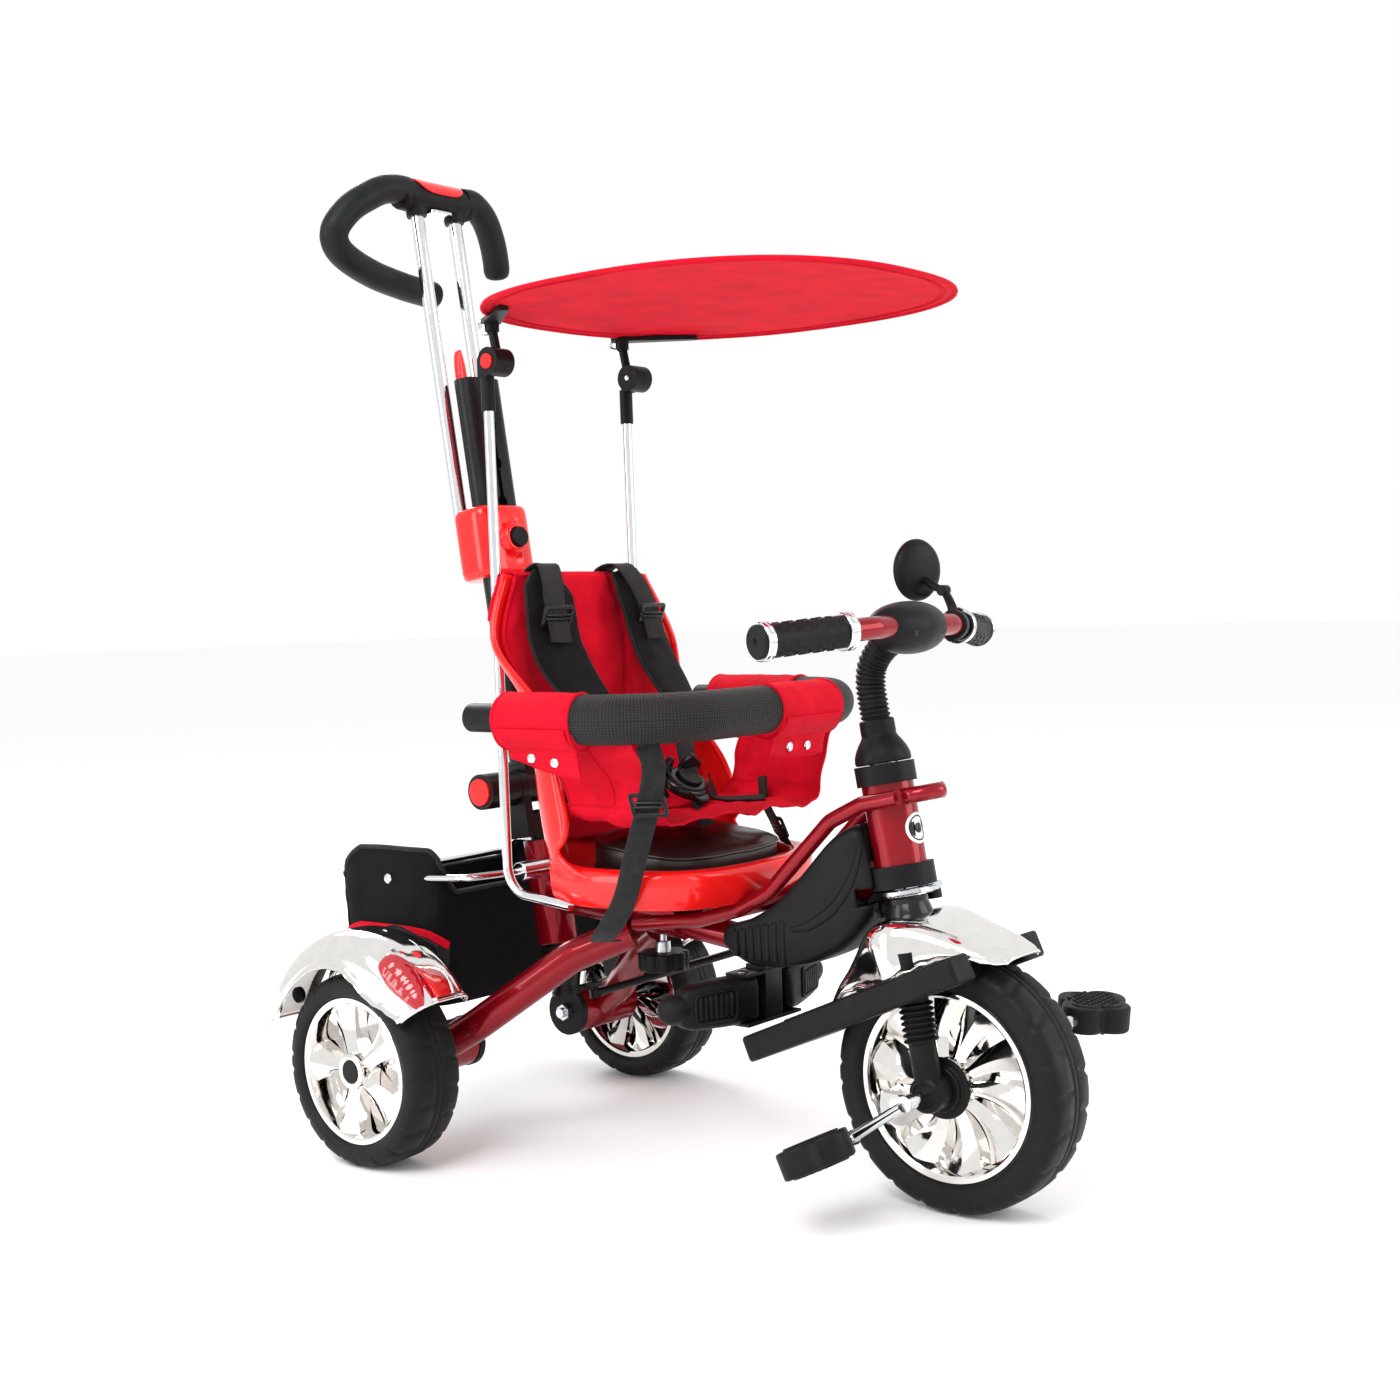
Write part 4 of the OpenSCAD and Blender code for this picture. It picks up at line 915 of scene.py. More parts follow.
# ---------------------------------------------------------------- foot pegs and seat knob
for side, word in SIDES:
    m = Matrix.Diagonal((side, 1, 1, 1)) @ place(36, -362, 161) @ Matrix.Rotation(radians(17), 4, "Z")
    body = "peg_" + word
    rings = []
    for x, w, h in ((-13, 7, 17), (-12, 11, 22), (-9, 13, 23.9), (6, 13, 24), (12, 14.4, 25), (30, 15, 24.6),
                    (56, 14.8, 23.4), (68, 14.4, 22.2), (75, 13.4, 20), (78.5, 11.5, 17), (80, 9, 14)):
        rings.append([(x, y, 24 + z) for y, z in superellipse(w, h, 4.2, 48)])
    add(loft("peg_block_" + word, rings, "black", m, sharp=40), body, replaced=body)
    for face in (-1, 1):
        window = rounded([(16, 7), (70, 8.5), (70, 39.5), (16, 41)], 8)
        inner = rounded([(19, 10), (67, 11.5), (67, 36.5), (19, 38)], 6)
        rings = [[(x, face * y, z) for x, z in line] for line, y in ((window, 13), (window, 16.6),
            (inner, 16.6), (inner, 13))]
        add(bevelled(loft("peg_window_%s_%d" % (word, face + 1), rings, "rubber", m, caps=False, sharp=30),
            1.0, 2), body)
        verts, quads = [], []
        for k in range(7):
            x = 22.0 + 6.4 * k
            b = len(verts)
            for y, e in ((13.5, 0), (16.0, 0), (17.0, 1.0)):
                verts += [(x + e, face * y, 12 + e), (x + 4.6 - e, face * y, 12 + e), (x + 4.6 - e,
                    face * y, 36 - e), (x + e, face * y, 36 - e)]
            for i in (0, 4):
                quads += wall(b + i)
            quads.append((b + 8, b + 9, b + 10, b + 11))
        add(build("peg_ribs_%s_%d" % (word, face + 1), verts, quads, "rubber", m, sharp=60), body)
    tip = [(72, 13.6), (78, 14.6), (82, 15.2), (88, 15.2), (94, 13.8), (98.5, 10.6), (101.2, 6), (102, 0.4)]
    add(lathe("peg_tip_" + word, tip, "rubber", m, "X", (0, 0, 24), n=48, sharp=50), body)
    rivet = [(211.8, 4.2), (211.8, 6.4), (213, 6.6), (214.2, 5.2), (214.8, 2.4), (215, 0.3)]
    add(lathe("peg_rivet_" + word, rivet, "zinc", REST, "Z", (side * 36, -362, 0), n=28), "frame")
    washer = [(89, 5.5), (90.2, 11), (92, 11), (92.4, 8), (95.5, 7.4), (96.2, 5.0)]
    add(lathe("fork_hub_washer_" + word, [(-side * -a, r) for a, r in washer], "zinc", centre=HUB, n=32),
        "frame")

outline = []
for k in range(96):
    t = TAU * k / 96
    r = 23.4 + 4.6 * abs(cos(4 * t)) ** 0.8
    outline.append((r * cos(t), -226 + r * sin(t)))
add(prism("seat_knob_head", outline, 195, 215, "black", plane="XY", bevel=2.4), "seat_knob",
    replaced="seat_knob")
add(lathe("seat_knob_stud", [(214, 9), (216, 8.6), (226, 8), (227, 4), (282, 4)], "zinc", REST, "Z",
    (0, -226, 0), n=28), "seat_knob")

# ---------------------------------------------------------------- frame covers
COVER = [(-334, 258), (-327, 237), (-345, 226), (-366, 217), (-402, 218), (-436, 224), (-470, 238),
    (-497, 256), (-516, 282), (-528, 310), (-524, 334), (-507, 376), (-480, 364), (-460, 344), (-440, 322),
    (-400, 284), (-362, 264)]
cover_line = rounded(COVER, 14, 5)
COVER_MIDDLE = Vector((-440, 278))


def shrunk(line, k):
    return [tuple(COVER_MIDDLE + (Vector(q) - COVER_MIDDLE) * k) for q in line]


def trimmed(o, cutters):
    """Cuts round clearances out of a finished shell."""
    for cutter in cutters:
        mod = o.modifiers.new("cut", "BOOLEAN")
        mod.operation, mod.solver, mod.object = "DIFFERENCE", "EXACT", cutter
    shell = bpy.data.meshes.new_from_object(o.evaluated_get(bpy.context.evaluated_depsgraph_get()))
    o.modifiers.clear()
    o.data = shell
    for cutter in cutters:
        bpy.data.objects.remove(cutter)
    return o


for side, word in SIDES:
    rings = [[(side * x, q[0], q[1]) for q in shrunk(cover_line, k)] for x, k in ((0.6, 1.0), (14, 1.0),
        (22, 0.992), (28, 0.972), (32, 0.94), (34.2, 0.90), (35.2, 0.84), (36.0, 0.72), (36.4, 0.5),
        (36.5, 0.2), (36.5, 0.02))]
    o = loft("frame_cover_" + word, rings, "black", sharp=60)
    cutters = [lathe("cutter_a", [(-60, 33.8), (140, 33.8)], "black", STEER, "Z", n=48), lathe("cutter_b",
        [(-31, 50), (-14, 50)], "black", STEER, "Z", n=48)]
    trimmed(o, cutters)
    add(o, "frame", replaced="frame_covers" if side < 0 else ())
    verts, quads = [], []
    for k in range(7):
        y0, b = -352 - 10.0 * k, len(verts)
        lo, hi = 228 - 0.4 * k, 256 + 2.4 * k
        for x, e in ((30.0, 0), (36.6, 0), (38.4, 1.6)):
            verts += sided(side, [(x, y0 - e, lo + e), (x, y0 - 6.6 + e, lo + e), (x, y0 - 6.6 + e, hi - e),
                (x, y0 - e, hi - e)])
        for i in (0, 4):
            quads += wall(b + i)
        quads.append((b + 8, b + 9, b + 10, b + 11))
    add(bevelled(build("frame_cover_ribs_" + word, verts, quads, "black", sharp=60), 0.8, 2), "frame")
    crease = smooth_path(sided(side, [(34.5, -511, 352), (36.2, -500, 318), (36.8, -478, 288), (37.0, -448,
        268), (36.2, -424, 262)]), 8)
    add(tube("frame_cover_crease_" + word, crease, lambda f: 0.5 + 1.2 * sin(pi * f) ** 0.6, "black", n=12,
        side=(1, 0, 0), oval=3.2, sharp=80), "frame")

# ---------------------------------------------------------------- seat
SPINE = [(-345, 300, 112, 8), (-300, 291, 140, 22), (-240, 288, 148, 32), (-186, 298, 150, 56), (-154, 338,
    146, 74), (-138, 400, 140, 70), (-125, 480, 122, 42), (-114, 556, 148, 15), (-107, 627, 116, 8)]


def spine(v):
    s = v * (len(SPINE) - 1)
    i = min(len(SPINE) - 2, int(s))
    f = s - i
    row = [SPINE[min(len(SPINE) - 1, max(0, k))] for k in (i - 1, i, i + 1, i + 2)]
    return [0.5 * (2 * b + (c - a) * f + (2 * a - 5 * b + 4 * c - d) * f * f + (3 * b - a - 3 * c
        + d) * f ** 3) for a, b, c, d in zip(*row)]


def seat_point(v, u, t):
    """Place on the bucket: v up the spine, u across, t inside its outer skin, in mm."""
    y, z, w, depth = spine(v)
    a, b = spine(max(0, v - 0.02)), spine(min(1, v + 0.02))
    normal = Vector((0, a[1] - b[1], b[0] - a[0])).normalized()
    s, c = abs(sin(pi / 2 * u)), abs(cos(pi / 2 * u))
    x = copysign((w - t) * s ** 0.7, u)
    return Vector((x, y, z)) + normal * (t + (depth - t) * (1 - c ** 0.7))


rows = [[seat_point(i / 60, copysign(abs(-1 + 2 * j / 64) ** 0.9, -1 + 2 * j / 64), 1.5) for j in range(65)]
    for i in range(61)]
o = loft("seat_bucket", rows, "red", wrap=False, sharp=60)
modifier(o, "SOLIDIFY", thickness=4 * MM, offset=0)
add(o, "frame", replaced="seat_shell")
edge = [seat_point(i / 60, 1, 1.5) for i in range(60, -1, -1)] + [seat_point(0, 1 - 2 * j / 40, 1.5)
    for j in range(1, 40)] + [seat_point(i / 60, -1, 1.5) for i in range(61)] + [seat_point(1,
    -1 + 2 * j / 40, 1.5) for j in range(1, 40)]
centre = sum(edge, Vector()) / len(edge)
o = bead("seat_edge_bead", edge, 3.6, "red",
    lambda p, t: (p - centre - t * (p - centre).dot(t)).normalized(), 12)
add(o, "frame")

# the wide rim that runs round the front of the seat
skirt = [(-8, -3, 1), (-6, 1.5, 1), (0, 3, 1), (7, 2.6, 1), (11.5, 0, 1), (13, -5, 1), (12.5, -20, 0),
    (10, -31, 0), (7, -35, 0), (3.5, -34, 0), (3.5, -28, 0), (5.5, -12, 1), (4, -5, 1), (-5, -7, 1)]
plan = smooth_path([(134, -196, 327), (140, -232, 323), (140, -272, 323), (132, -312, 323), (108, -342,
    322), (60, -354, 320), (0, -357, 319), (-60, -354, 320), (-108, -342, 322), (-132, -312, 323),
    (-140, -272, 323), (-140, -232, 323), (-134, -196, 327)], 8)
rings = []
for i, p in enumerate(plan):
    t = plan[min(i + 1, len(plan) - 1)] - plan[max(0, i - 1)]
    out = Vector((-t.y, t.x, 0)).normalized()
    if out.dot(p - Vector((0, -200, p.z))) < 0:
        out = -out
    rings.append([p + out * (a * 1.1 - 6) + Vector((0, 0, b * 1.05)) for a, b, c in skirt])
o = loft("seat_front_rim", rings, "red", sharp=60)
add(o, "frame")

# ---------------------------------------------------------------- seat cushion
CUSHION = place(0, -262, 310, 7)
section = [(-3, 0.93), (4, 0.985), (14, 1.0), (22, 1.005), (27, 1.0), (30, 0.985), (32.5, 0.955),
    (35, 0.90), (37.2, 0.8), (39, 0.66), (40.2, 0.48), (40.9, 0.28), (41.1, 0.1), (41.1, 0.01)]
rings = []
for z, k in section:
    ring = []
    for x, y in superellipse(104 * k, 72 * k, 3.2, 96):
        pucker = wobble((x, y, z), 0.045, 2.2, 3.0) * (1 if z > 30 else 0.5) * min(1, 4 * (1.02 - k) + 0.25)
        ring.append((x, y, z + (pucker if z > 26 else 0)))
    rings.append(ring)
cushion = loft("seat_cushion_cover", rings, "vinyl", CUSHION, sharp=80)
add(cushion, "frame", replaced="seat_cushion")
for z, k, tag in ((30.5, 0.992, "top"), (3.0, 0.99, "base")):
    line = [Vector((x, y, z + wobble((x, y, 0), 0.03, 0.8))) for x, y in superellipse(104 * k, 72 * k, 3.2,
        120)]
    o = bead("seat_cushion_welt_" + tag, line, 2.1, "vinyl", Vector((0, 0, 1)), m=CUSHION)
    add(o, "frame")

# ---------------------------------------------------------------- backrest cover
def cover_point(s, u):
    """s runs up the inner face, over the top edge and a little way down behind."""
    pad = 7.5 + 3.0 * sin(pi * min(1, s / 0.8)) * (1 - u ** 4)
    pad -= 2.6 * exp(-((abs(u) - 0.30) / 0.03) ** 2) * (1 if s < 0.8 else 0)
    if s < 0.78:
        v = 0.50 + s / 0.78 * 0.5
        p = seat_point(v, u * 0.76, 4 + pad)
    else:
        a = (s - 0.78) / 0.22
        top = seat_point(1, u * 0.76, 0)
        back = seat_point(0.98, u * 0.76, 0)
        rise = (top - back).normalized()
        if a < 0.45:
            q = pi * a / 0.45
            half = (pad + 2) * (1 - 0.42 * a / 0.45)
            p = seat_point(1, u * 0.76, 2 + half * cos(q)) + rise * (half * 0.85 * sin(q))
        else:
            b = (a - 0.45) / 0.55
            p = seat_point(1 - 0.085 * b, u * 0.76, -4.5 - 1.2 * sin(pi * b))
    wave = wobble(p, 0.028, 4.2, 1.0) + wobble(p, 0.06, 1.5, 5.0)
    fade = 1 - max(0, (abs(u) - 0.85) / 0.15) * 0.6
    p.y -= wave * fade * (1 if s < 0.78 else 0.15)
    return p


rows = [[cover_point(i / 90, -1 + 2 * j / 80) for j in range(81)] for i in range(91)]
o = loft("backrest_pad", rows, "fabric", wrap=False, sharp=80)
modifier(o, "SOLIDIFY", thickness=5 * MM, offset=-1)
add(o, "frame", replaced="backrest_cover")
for side, tag in ((-1, "near"), (1, "far")):
    hem = [cover_point(i / 90, side) for i in range(91)]
    add(tube("backrest_hem_" + tag, hem, 2.4, "fabric_soft", n=10, sharp=80), "frame")
    stitch = [cover_point(i / 90, side * 0.94) + Vector((0, -0.6, 0)) for i in range(0, 71)]
    add(tube("backrest_stitch_" + tag, stitch, 0.55, "fabric_soft", n=6, sharp=80), "frame")

# ---------------------------------------------------------------- harness
def strap(name, points, width, side, body="frame", thick=1.9, steps=6, mat="webbing"):
    o = ribbon(name, smooth_path(points, steps), width, thick, mat, side)
    return add(o, body)


def slider(name, centre, across, along, width, body):
    """Ladder-lock buckle: a rounded frame with two bars."""
    x, y = Vector(across).normalized(), Vector(along).normalized()
    z = x.cross(y)
    m = place(*centre) @ Matrix((x, y, z)).transposed().to_4x4()
    w, h = width / 2 + 6, 12.5
    outer, inner = rounded([(-w, -h), (w, -h), (w, h), (-w, h)], 5), rounded([(-w + 4.5, -h + 4.5),
        (w - 4.5, -h + 4.5), (w - 4.5, h - 4.5), (-w + 4.5, h - 4.5)], 2)
    rings = [[(a, b, c) for a, b in line] for line, c in ((outer, -1.6), (outer, 1.8), (inner, 1.8),
        (inner, -1.6))]
    o = bevelled(loft(name, rings, "gloss_black", m, loop=True, sharp=30), 0.9, 2)
    add(o, body)
    for k, b in enumerate((-2.2, 2.2)):
        bar = [(-w + 3, b, 1.6), (0, b, 2.6), (w - 3, b, 1.6)]
        add(tube("%s_bar%d" % (name, k), smooth_path(bar, 4), 1.5, "gloss_black", m, n=10), body)


for side, word in SIDES:
    middle = [Vector(p) for p in smooth_path(sided(side, [(60, -123, 632), (67, -134, 614), (73, -143, 590),
        (77, -151, 560), (77, -165, 532), (74, -184, 507), (66, -203, 486), (55, -215, 470)]), 7)]
    rings, rim_a, rim_b = [], [], []
    n = len(middle)
    for i, (p, s, u) in enumerate(frames(middle, (1, 0.12 * side, 0))):
        f = i / (n - 1)
        w = 35 * sin(pi * (0.20 + 0.42 * f)) ** 0.5 if f < 0.5 else 35 * max(0.25,
            1 - ((f - 0.5) / 0.5) ** 2.6 * 0.72)
        w *= min(1, 0.5 + 3.2 * f)
        ring = []
        for k in range(36):
            a = TAU * k / 36
            c, d = cos(a), sin(a)
            x = w * copysign(abs(c) ** 0.62, c)
            t = 5.4 * copysign(abs(d) ** 0.75, d) * (1 - 0.25 * (x / w) ** 4)
            q = p + s * x + u * t
            ring.append(q + u * wobble(q, 0.05, 1.6, 2.0))
        rings.append(ring)
        rim_a.append(p + s * (w + 0.4))
        rim_b.append(p - s * (w + 0.4))
    pad = loft("harness_pad_" + word, rings, "pad", sharp=80)
    add(pad, "frame", replaced="harness" if side < 0 else ())
    o = bead("harness_piping_" + word, rim_a + list(reversed(rim_b)), 1.9, "webbing",
        lambda p, t: t.cross(Vector((0, -1, 0.3))).normalized())
    add(o, "frame")
    strap("harness_top_strap_" + word, sided(side, [(55, -98, 612), (57, -104, 634), (61, -126, 641),
        (68, -141, 625), (75, -150, 602), (78, -157, 580), (79, -163, 556)]), 32, (1, 0, 0))
    slider("harness_slider_" + word, (side * 78, -157, 584), (1, 0.05 * side, 0), (0, -0.33, 0.94), 32,
        "frame")
    strap("harness_lower_strap_" + word, sided(side, [(56, -213, 474), (44, -226, 455), (30, -241, 434),
        (19, -254, 417), (15, -258, 411)]), 20, (0.8, 0.0, side * 0.45))
    clip_m = place(side * 19, -253.5, 418) @ Matrix.Rotation(side * 0.62, 4, "Y") @ Matrix.Rotation(0.62, 4,
        "X")
    o = prism("harness_clip_" + word, rounded([(-9, -11), (9, -11), (12, 3), (9, 13), (-9, 13), (-12, 3)],
        4), -3.4, 3.4, "gloss_black", clip_m @ Matrix.Rotation(radians(90), 4, "X"), "XY", bevel=1.6)
    add(o, "frame")
    strap("harness_waist_strap_" + word, sided(side, [(22, -255, 398), (44, -244, 392), (68, -236, 386),
        (92, -226, 383), (112, -214, 384), (124, -200, 390)]), 22, (0, 0.5, 1))
    tail = sided(side, [(30, -250, 397), (52, -252, 382), (74, -262, 377), (92, -276, 376.5), (104, -292,
        377)])
    strap("harness_tail_" + word, tail, 22, (0.4 * side, 1, 0.1))
strap("harness_crotch_strap", [(0, -270, 394), (0, -280, 386), (1, -287, 372), (2, -290, 356)], 24,
    (1, 0, 0))
BUCKLE = place(0, -262, 396, 35)
body_profile = [(0, 20), (0.5, 23), (3, 25), (8, 24.6), (11, 22.5), (12.6, 19), (13, 15), (12.4, 14),
    (3.4, 13.8), (3.4, 2)]
rings = [[(r * cos(TAU * k / 72) * 1.16, r * sin(TAU * k / 72), z) for k in range(72)] for z,
    r in body_profile]
add(loft("harness_buckle", rings, "gloss_black", BUCKLE, sharp=40), "frame")
o = prism("harness_buckle_tongue", rounded([(-8, -32), (8, -32), (11, -18), (-11, -18)], 4), 1, 8,
    "gloss_black", BUCKLE, "XY", bevel=1.5)
add(o, "frame")

# ---------------------------------------------------------------- seat liner
def liner_point(u, v):
    """u across from the near hoop arm to the far one, v forward from the back edge."""
    s = abs(u)
    if s < 0.52:
        x, z = 122 * s / 0.52, 374.0
    elif s < 0.64:
        f = (s - 0.52) / 0.12
        x, z = 122 + 14 * sin(f * pi / 2), 374 + 16 * (1 - cos(f * pi / 2))
    else:
        f = (s - 0.64) / 0.36
        x, z = 136 + 36 * f - 4 * sin(pi * f), 390 + 68 * f
    back, front = -216.0, -346 + 12 * (s - 0.5)
    if s >= 0.64:
        back += -8 * (1 - (s - 0.64) / 0.36)
    y = back + (front - back) * v
    side = -1 if u < 0 else 1
    p = Vector((side * x, y, z))
    n = Vector((-side if s > 0.58 else 0, 0, 0 if s > 0.58 else 1)).normalized()
    wave = wobble(p, 0.030, 7.0, 7.0) + wobble(p, 0.075, 2.0, 9.0)
    wave += 2.6 * sin(v * 9 + 5 * s) * max(0.0, s - 0.5) * 2 * (1 - max(0, (s - 0.85) / 0.15))
    return p + n * wave


rows = [[liner_point(-1 + 2 * i / 120, v / 50) for v in range(51)] for i in range(121)]
liner = loft("seat_liner_cloth", rows, "fabric", wrap=False, sharp=80)
modifier(liner, "SOLIDIFY", thickness=1.3 * MM, offset=0)
add(liner, "frame to hoop", replaced="seat_liner")
for tag, v in (("front", 50), ("back", 0)):
    o = tube("seat_liner_hem_" + tag, [r[v] for r in rows], 1.7, "fabric_soft", n=8, side=(0, 1, 0),
        sharp=80)
    add(o, "frame to hoop")
for tag, s in (("near", -1), ("far", 1)):
    seam = [rows[i][25] for i in (range(2, 22) if s < 0 else range(98, 118))]
    o = tube("seat_liner_seam_" + tag, [q + Vector((s * 0.9, 0, 0)) for q in seam], 0.9, "fabric_soft", n=6,
        side=(0, 1, 0), sharp=80)
    add(o, "frame to hoop")

# ---------------------------------------------------------------- guard hoop
HOOP_X, HOOP_Z, HOOP_Y, BEND = 188.0, 482.0, -372.0, 95.0


def hoop_station(s):
    """Point and outward direction at s mm from the middle of the front bar; negative is the near side."""
    side = -1 if s < 0 else 1
    a = abs(s)
    flat, arc = HOOP_X - BEND, BEND * pi / 2
    if a <= flat:
        p, out = Vector((a, HOOP_Y)), Vector((0, -1))
    elif a <= flat + arc:
        q = (a - flat) / BEND
        out = Vector((sin(q), -cos(q)))
        p = Vector((flat, HOOP_Y + BEND)) + out * BEND
    else:
        p, out = Vector((HOOP_X, HOOP_Y + BEND + a - flat - arc)), Vector((1, 0))
    return Vector((side * p.x, p.y, HOOP_Z)), Vector((side * out.x, out.y, 0))


def hoop_sleeve(name, s0, s1, radius, mat, slot_name, step=3.0, drop=0.0, folds=0.0, n=48, closed=True):
    rings = []
    count = max(4, int(abs(s1 - s0) / step))
    for i in range(count + 1):
        f = i / count
        p, out = hoop_station(s0 + (s1 - s0) * f)
        tuck = 1 - (0.10 * exp(-(min(f, 1 - f) * abs(s1 - s0) / 2.4) ** 2) if closed else 0)
        ring = []
        for k in range(n):
            a = TAU * k / n
            down = max(0.0, -sin(a)) ** 3
            r = radius * tuck + drop * down * (0.6 + 0.4 * cos(a))
            q = p + out * r * cos(a) + Vector((0, 0, r * sin(a)))
            if folds:
                r2 = wobble(q, 0.035, folds, 4.0) + wobble(q, 0.09, folds * 0.4, 6.0)
                q += (out * cos(a) + Vector((0, 0, sin(a)))) * r2
            ring.append(q)
        rings.append(ring)
    return loft(name, rings, mat, sharp=70)


total = (HOOP_X - BEND) + BEND * pi / 2 + (-208.5 - (HOOP_Y + BEND))
foam = hoop_sleeve("hoop_foam", -total, total, 25.2, "mesh", "black_foam")
add(foam, "hoop", replaced="hoop_padding")
corner = (HOOP_X - BEND) + BEND * pi / 2
arm = lambda y: corner + (y - (HOOP_Y + BEND))
sleeves = (("near", -arm(-187), -arm(-290)), ("front", 0, 106), ("far", arm(-286), arm(-166)))
for tag, s0, s1 in sleeves:
    o = hoop_sleeve("hoop_sleeve_" + tag, s0, s1, 27.0, "fabric", "red_fabric", drop=7, folds=1.6)
    add(o, "hoop")
    for end, s in (("a", s0), ("b", s1)):
        p, out = hoop_station(s + (2.0 if s == s0 else -2.0) * (1 if s1 > s0 else -1))
        rings = []
        t = Vector((-out.y, out.x, 0))
        for k in range(48):
            a = TAU * k / 48
            down = max(0.0, -sin(a)) ** 3
            d = out * cos(a) + Vector((0, 0, sin(a)))
            q = p + d * (26.0 + 7 * down * (0.6 + 0.4 * cos(a)))
            rings.append([q + d * 1.9 * cos(j * pi / 4) + t * 1.9 * sin(j * pi / 4) for j in range(8)])
        add(loft("hoop_sleeve_edge_%s_%s" % (tag, end), rings, "fabric_soft", loop=True, sharp=80), "hoop")


def snap(name, p, out, body, r=5.6):
    x = out.cross(Vector((0, 0, 1)))
    if x.length < 0.1:
        x = Vector((1, 0, 0))
    x.normalize()
    m = place(*p) @ Matrix((x, out.cross(x), out)).transposed().to_4x4()
    dome = [(-1.5, r * 0.9), (0.0, r), (1.0, r * 0.96), (1.9, r * 0.72), (2.3, r * 0.35), (2.4, 0.2)]
    return add(lathe(name, dome, "chrome", m, "Z", n=28, sharp=60), body)


# hanging flaps under the sleeves, snapped through with two studs each
def flap(tag, s0, s1, long0, long1):
    rows = []
    for i in range(31):
        f = i / 30
        p, out = hoop_station(s0 + (s1 - s0) * f)
        long = long0 + (long1 - long0) * f
        long *= 0.72 + 0.28 * sin(pi * min(1, max(0, 0.12 + 0.76 * f))) ** 0.6
        row = []
        for k in range(25):
            h = k / 24
            if h < 0.35:
                a = -0.30 - (pi / 2 - 0.55) * h / 0.35
                q = p + out * 29.0 * cos(a) + Vector((0, 0, 29.0 * sin(a)))
            else:
                g = (h - 0.35) / 0.65
                base = -0.30 - (pi / 2 - 0.55)
                q = p + out * (29.0 * cos(base) - 6 * g) + Vector((0, 0, 29.0 * sin(base) - long * g))
            q += out * (wobble(q, 0.05, 2.2, 8.0) * h)
            row.append(q)
        rows.append(row)
    o = loft("hoop_flap_" + tag, rows, "fabric", wrap=False, sharp=80)
    area = sum(p.area for p in o.data.polygons)
    modifier(o, "SOLIDIFY", thickness=1.4 * MM, offset=0)
    add(o, "hoop")
    hem = tube("hoop_flap_hem_" + tag, [r[-1] for r in rows], 1.5, "fabric_soft", n=8, sharp=80)
    add(hem, "hoop")
    studs = []
    for k, f in enumerate((0.34, 0.68)):
        row = rows[int(30 * f)]
        p, out = hoop_station(s0 + (s1 - s0) * f)
        studs.append(snap("hoop_snap_%s_%d" % (tag, k), row[17] + out * 1.2, out, "hoop"))
    return o, area, [hem] + studs


for tag, s0, s1, l0, l1 in (("near", -arm(-192), -arm(-286), 13, 34), ("front", 5, 100, 22, 26),
                            ("far", arm(-280), arm(-172), 34, 16)):
    o, area, extra = flap(tag, s0, s1, l0, l1)

# straps that tie the hoop and the liner down to the frame
near = [(-162, -350, 458), (-160, -356, 433), (-158, -346, 397.5), (-158, -328, 347.5), (-155, -309, 301),
    (-151, -287, 273), (-146, -272, 260), (-132, -256, 250), (-108, -246, 246)]
far = [(122, -276, 398), (120, -280, 371), (120, -296, 343), (120, -313, 317), (120, -326, 284), (108, -326,
    270), (84, -322, 264)]
for tag, line in (("near", near), ("far", far)):
    strap("hoop_strap_" + tag, line, 24, (0.55, -0.83, 0) if tag == "near" else (0.5, 0.86, 0),
        "frame to hoop")
slider("hoop_strap_slider_near", (-159.5, -347.5, 397.5), (0.55, -0.83, 0), (0.0, 0.28, 1), 25, "frame")
slider("hoop_strap_slider_far", (122, -297, 343), (0.5, 0.86, 0), (0.0, -0.5, -1), 25, "frame")

# ---------------------------------------------------------------- canopy
c_lo, c_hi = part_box("canopy")
CAN_Z = c_lo.z / MM
CAN_Y = -326


def canopy_point(k, t, lift=0.0):
    """k from the middle to the edge, t round it."""
    c, s = cos(t), sin(t)
    x = 222 * k * copysign(abs(c) ** (2 / 2.4), c)
    y = 238 * k * copysign(abs(s) ** (2 / 2.4), s)
    z = 7.0 * (1 - k * k) + 0.6
    z += wobble((x, y, 0), 0.011, 3.0, 2.0) * (1 - k ** 6)
    for side in (-1, 1):
        dx, dy = x - side * 130, y - (178 - 20)
        z += 2.2 * exp(-(dx * dx + dy * dy) / 1500) * cos(0.16 * (dx * side + dy))
    return Vector((x, CAN_Y + y, CAN_Z + z + lift))


rings = [[canopy_point(k / 40, TAU * j / 128) for j in range(128)] for k in range(40, 0, -1)]
rings.append([canopy_point(0.004, TAU * j / 128) for j in range(128)])
canopy = loft("canopy_cloth", rings, "fabric", sharp=80)
bm = bmesh.new()
bm.from_mesh(canopy.data)
outer_cap = [f for f in bm.faces if len(f.verts) > 4 and max(v.co.x for v in f.verts) > 0.1]
bmesh.ops.delete(bm, geom=outer_cap, context="FACES")
uv = bm.loops.layers.uv.active
for f in bm.faces:
    for l in f.loops:
        l[uv].uv = (l.vert.co.x, l.vert.co.y)
bm.to_mesh(canopy.data)
bm.free()
modifier(canopy, "SOLIDIFY", thickness=1.2 * MM, offset=0)
add(canopy, "canopy", replaced="canopy")
for tag, k, r, lift in (("wire", 1.0, 2.6, 0), ("hem_a", 0.955, 0.7, -0.9), ("hem_b", 0.94, 0.6, -0.8),
                        ("hem_c", 0.955, 0.7, 0.9)):
    line = [canopy_point(k, TAU * j / 160, lift) for j in range(160)]
    o = bead("canopy_" + tag, line, r, "fabric_soft", Vector((0, 0, 1)), 8)
    add(o, "canopy")
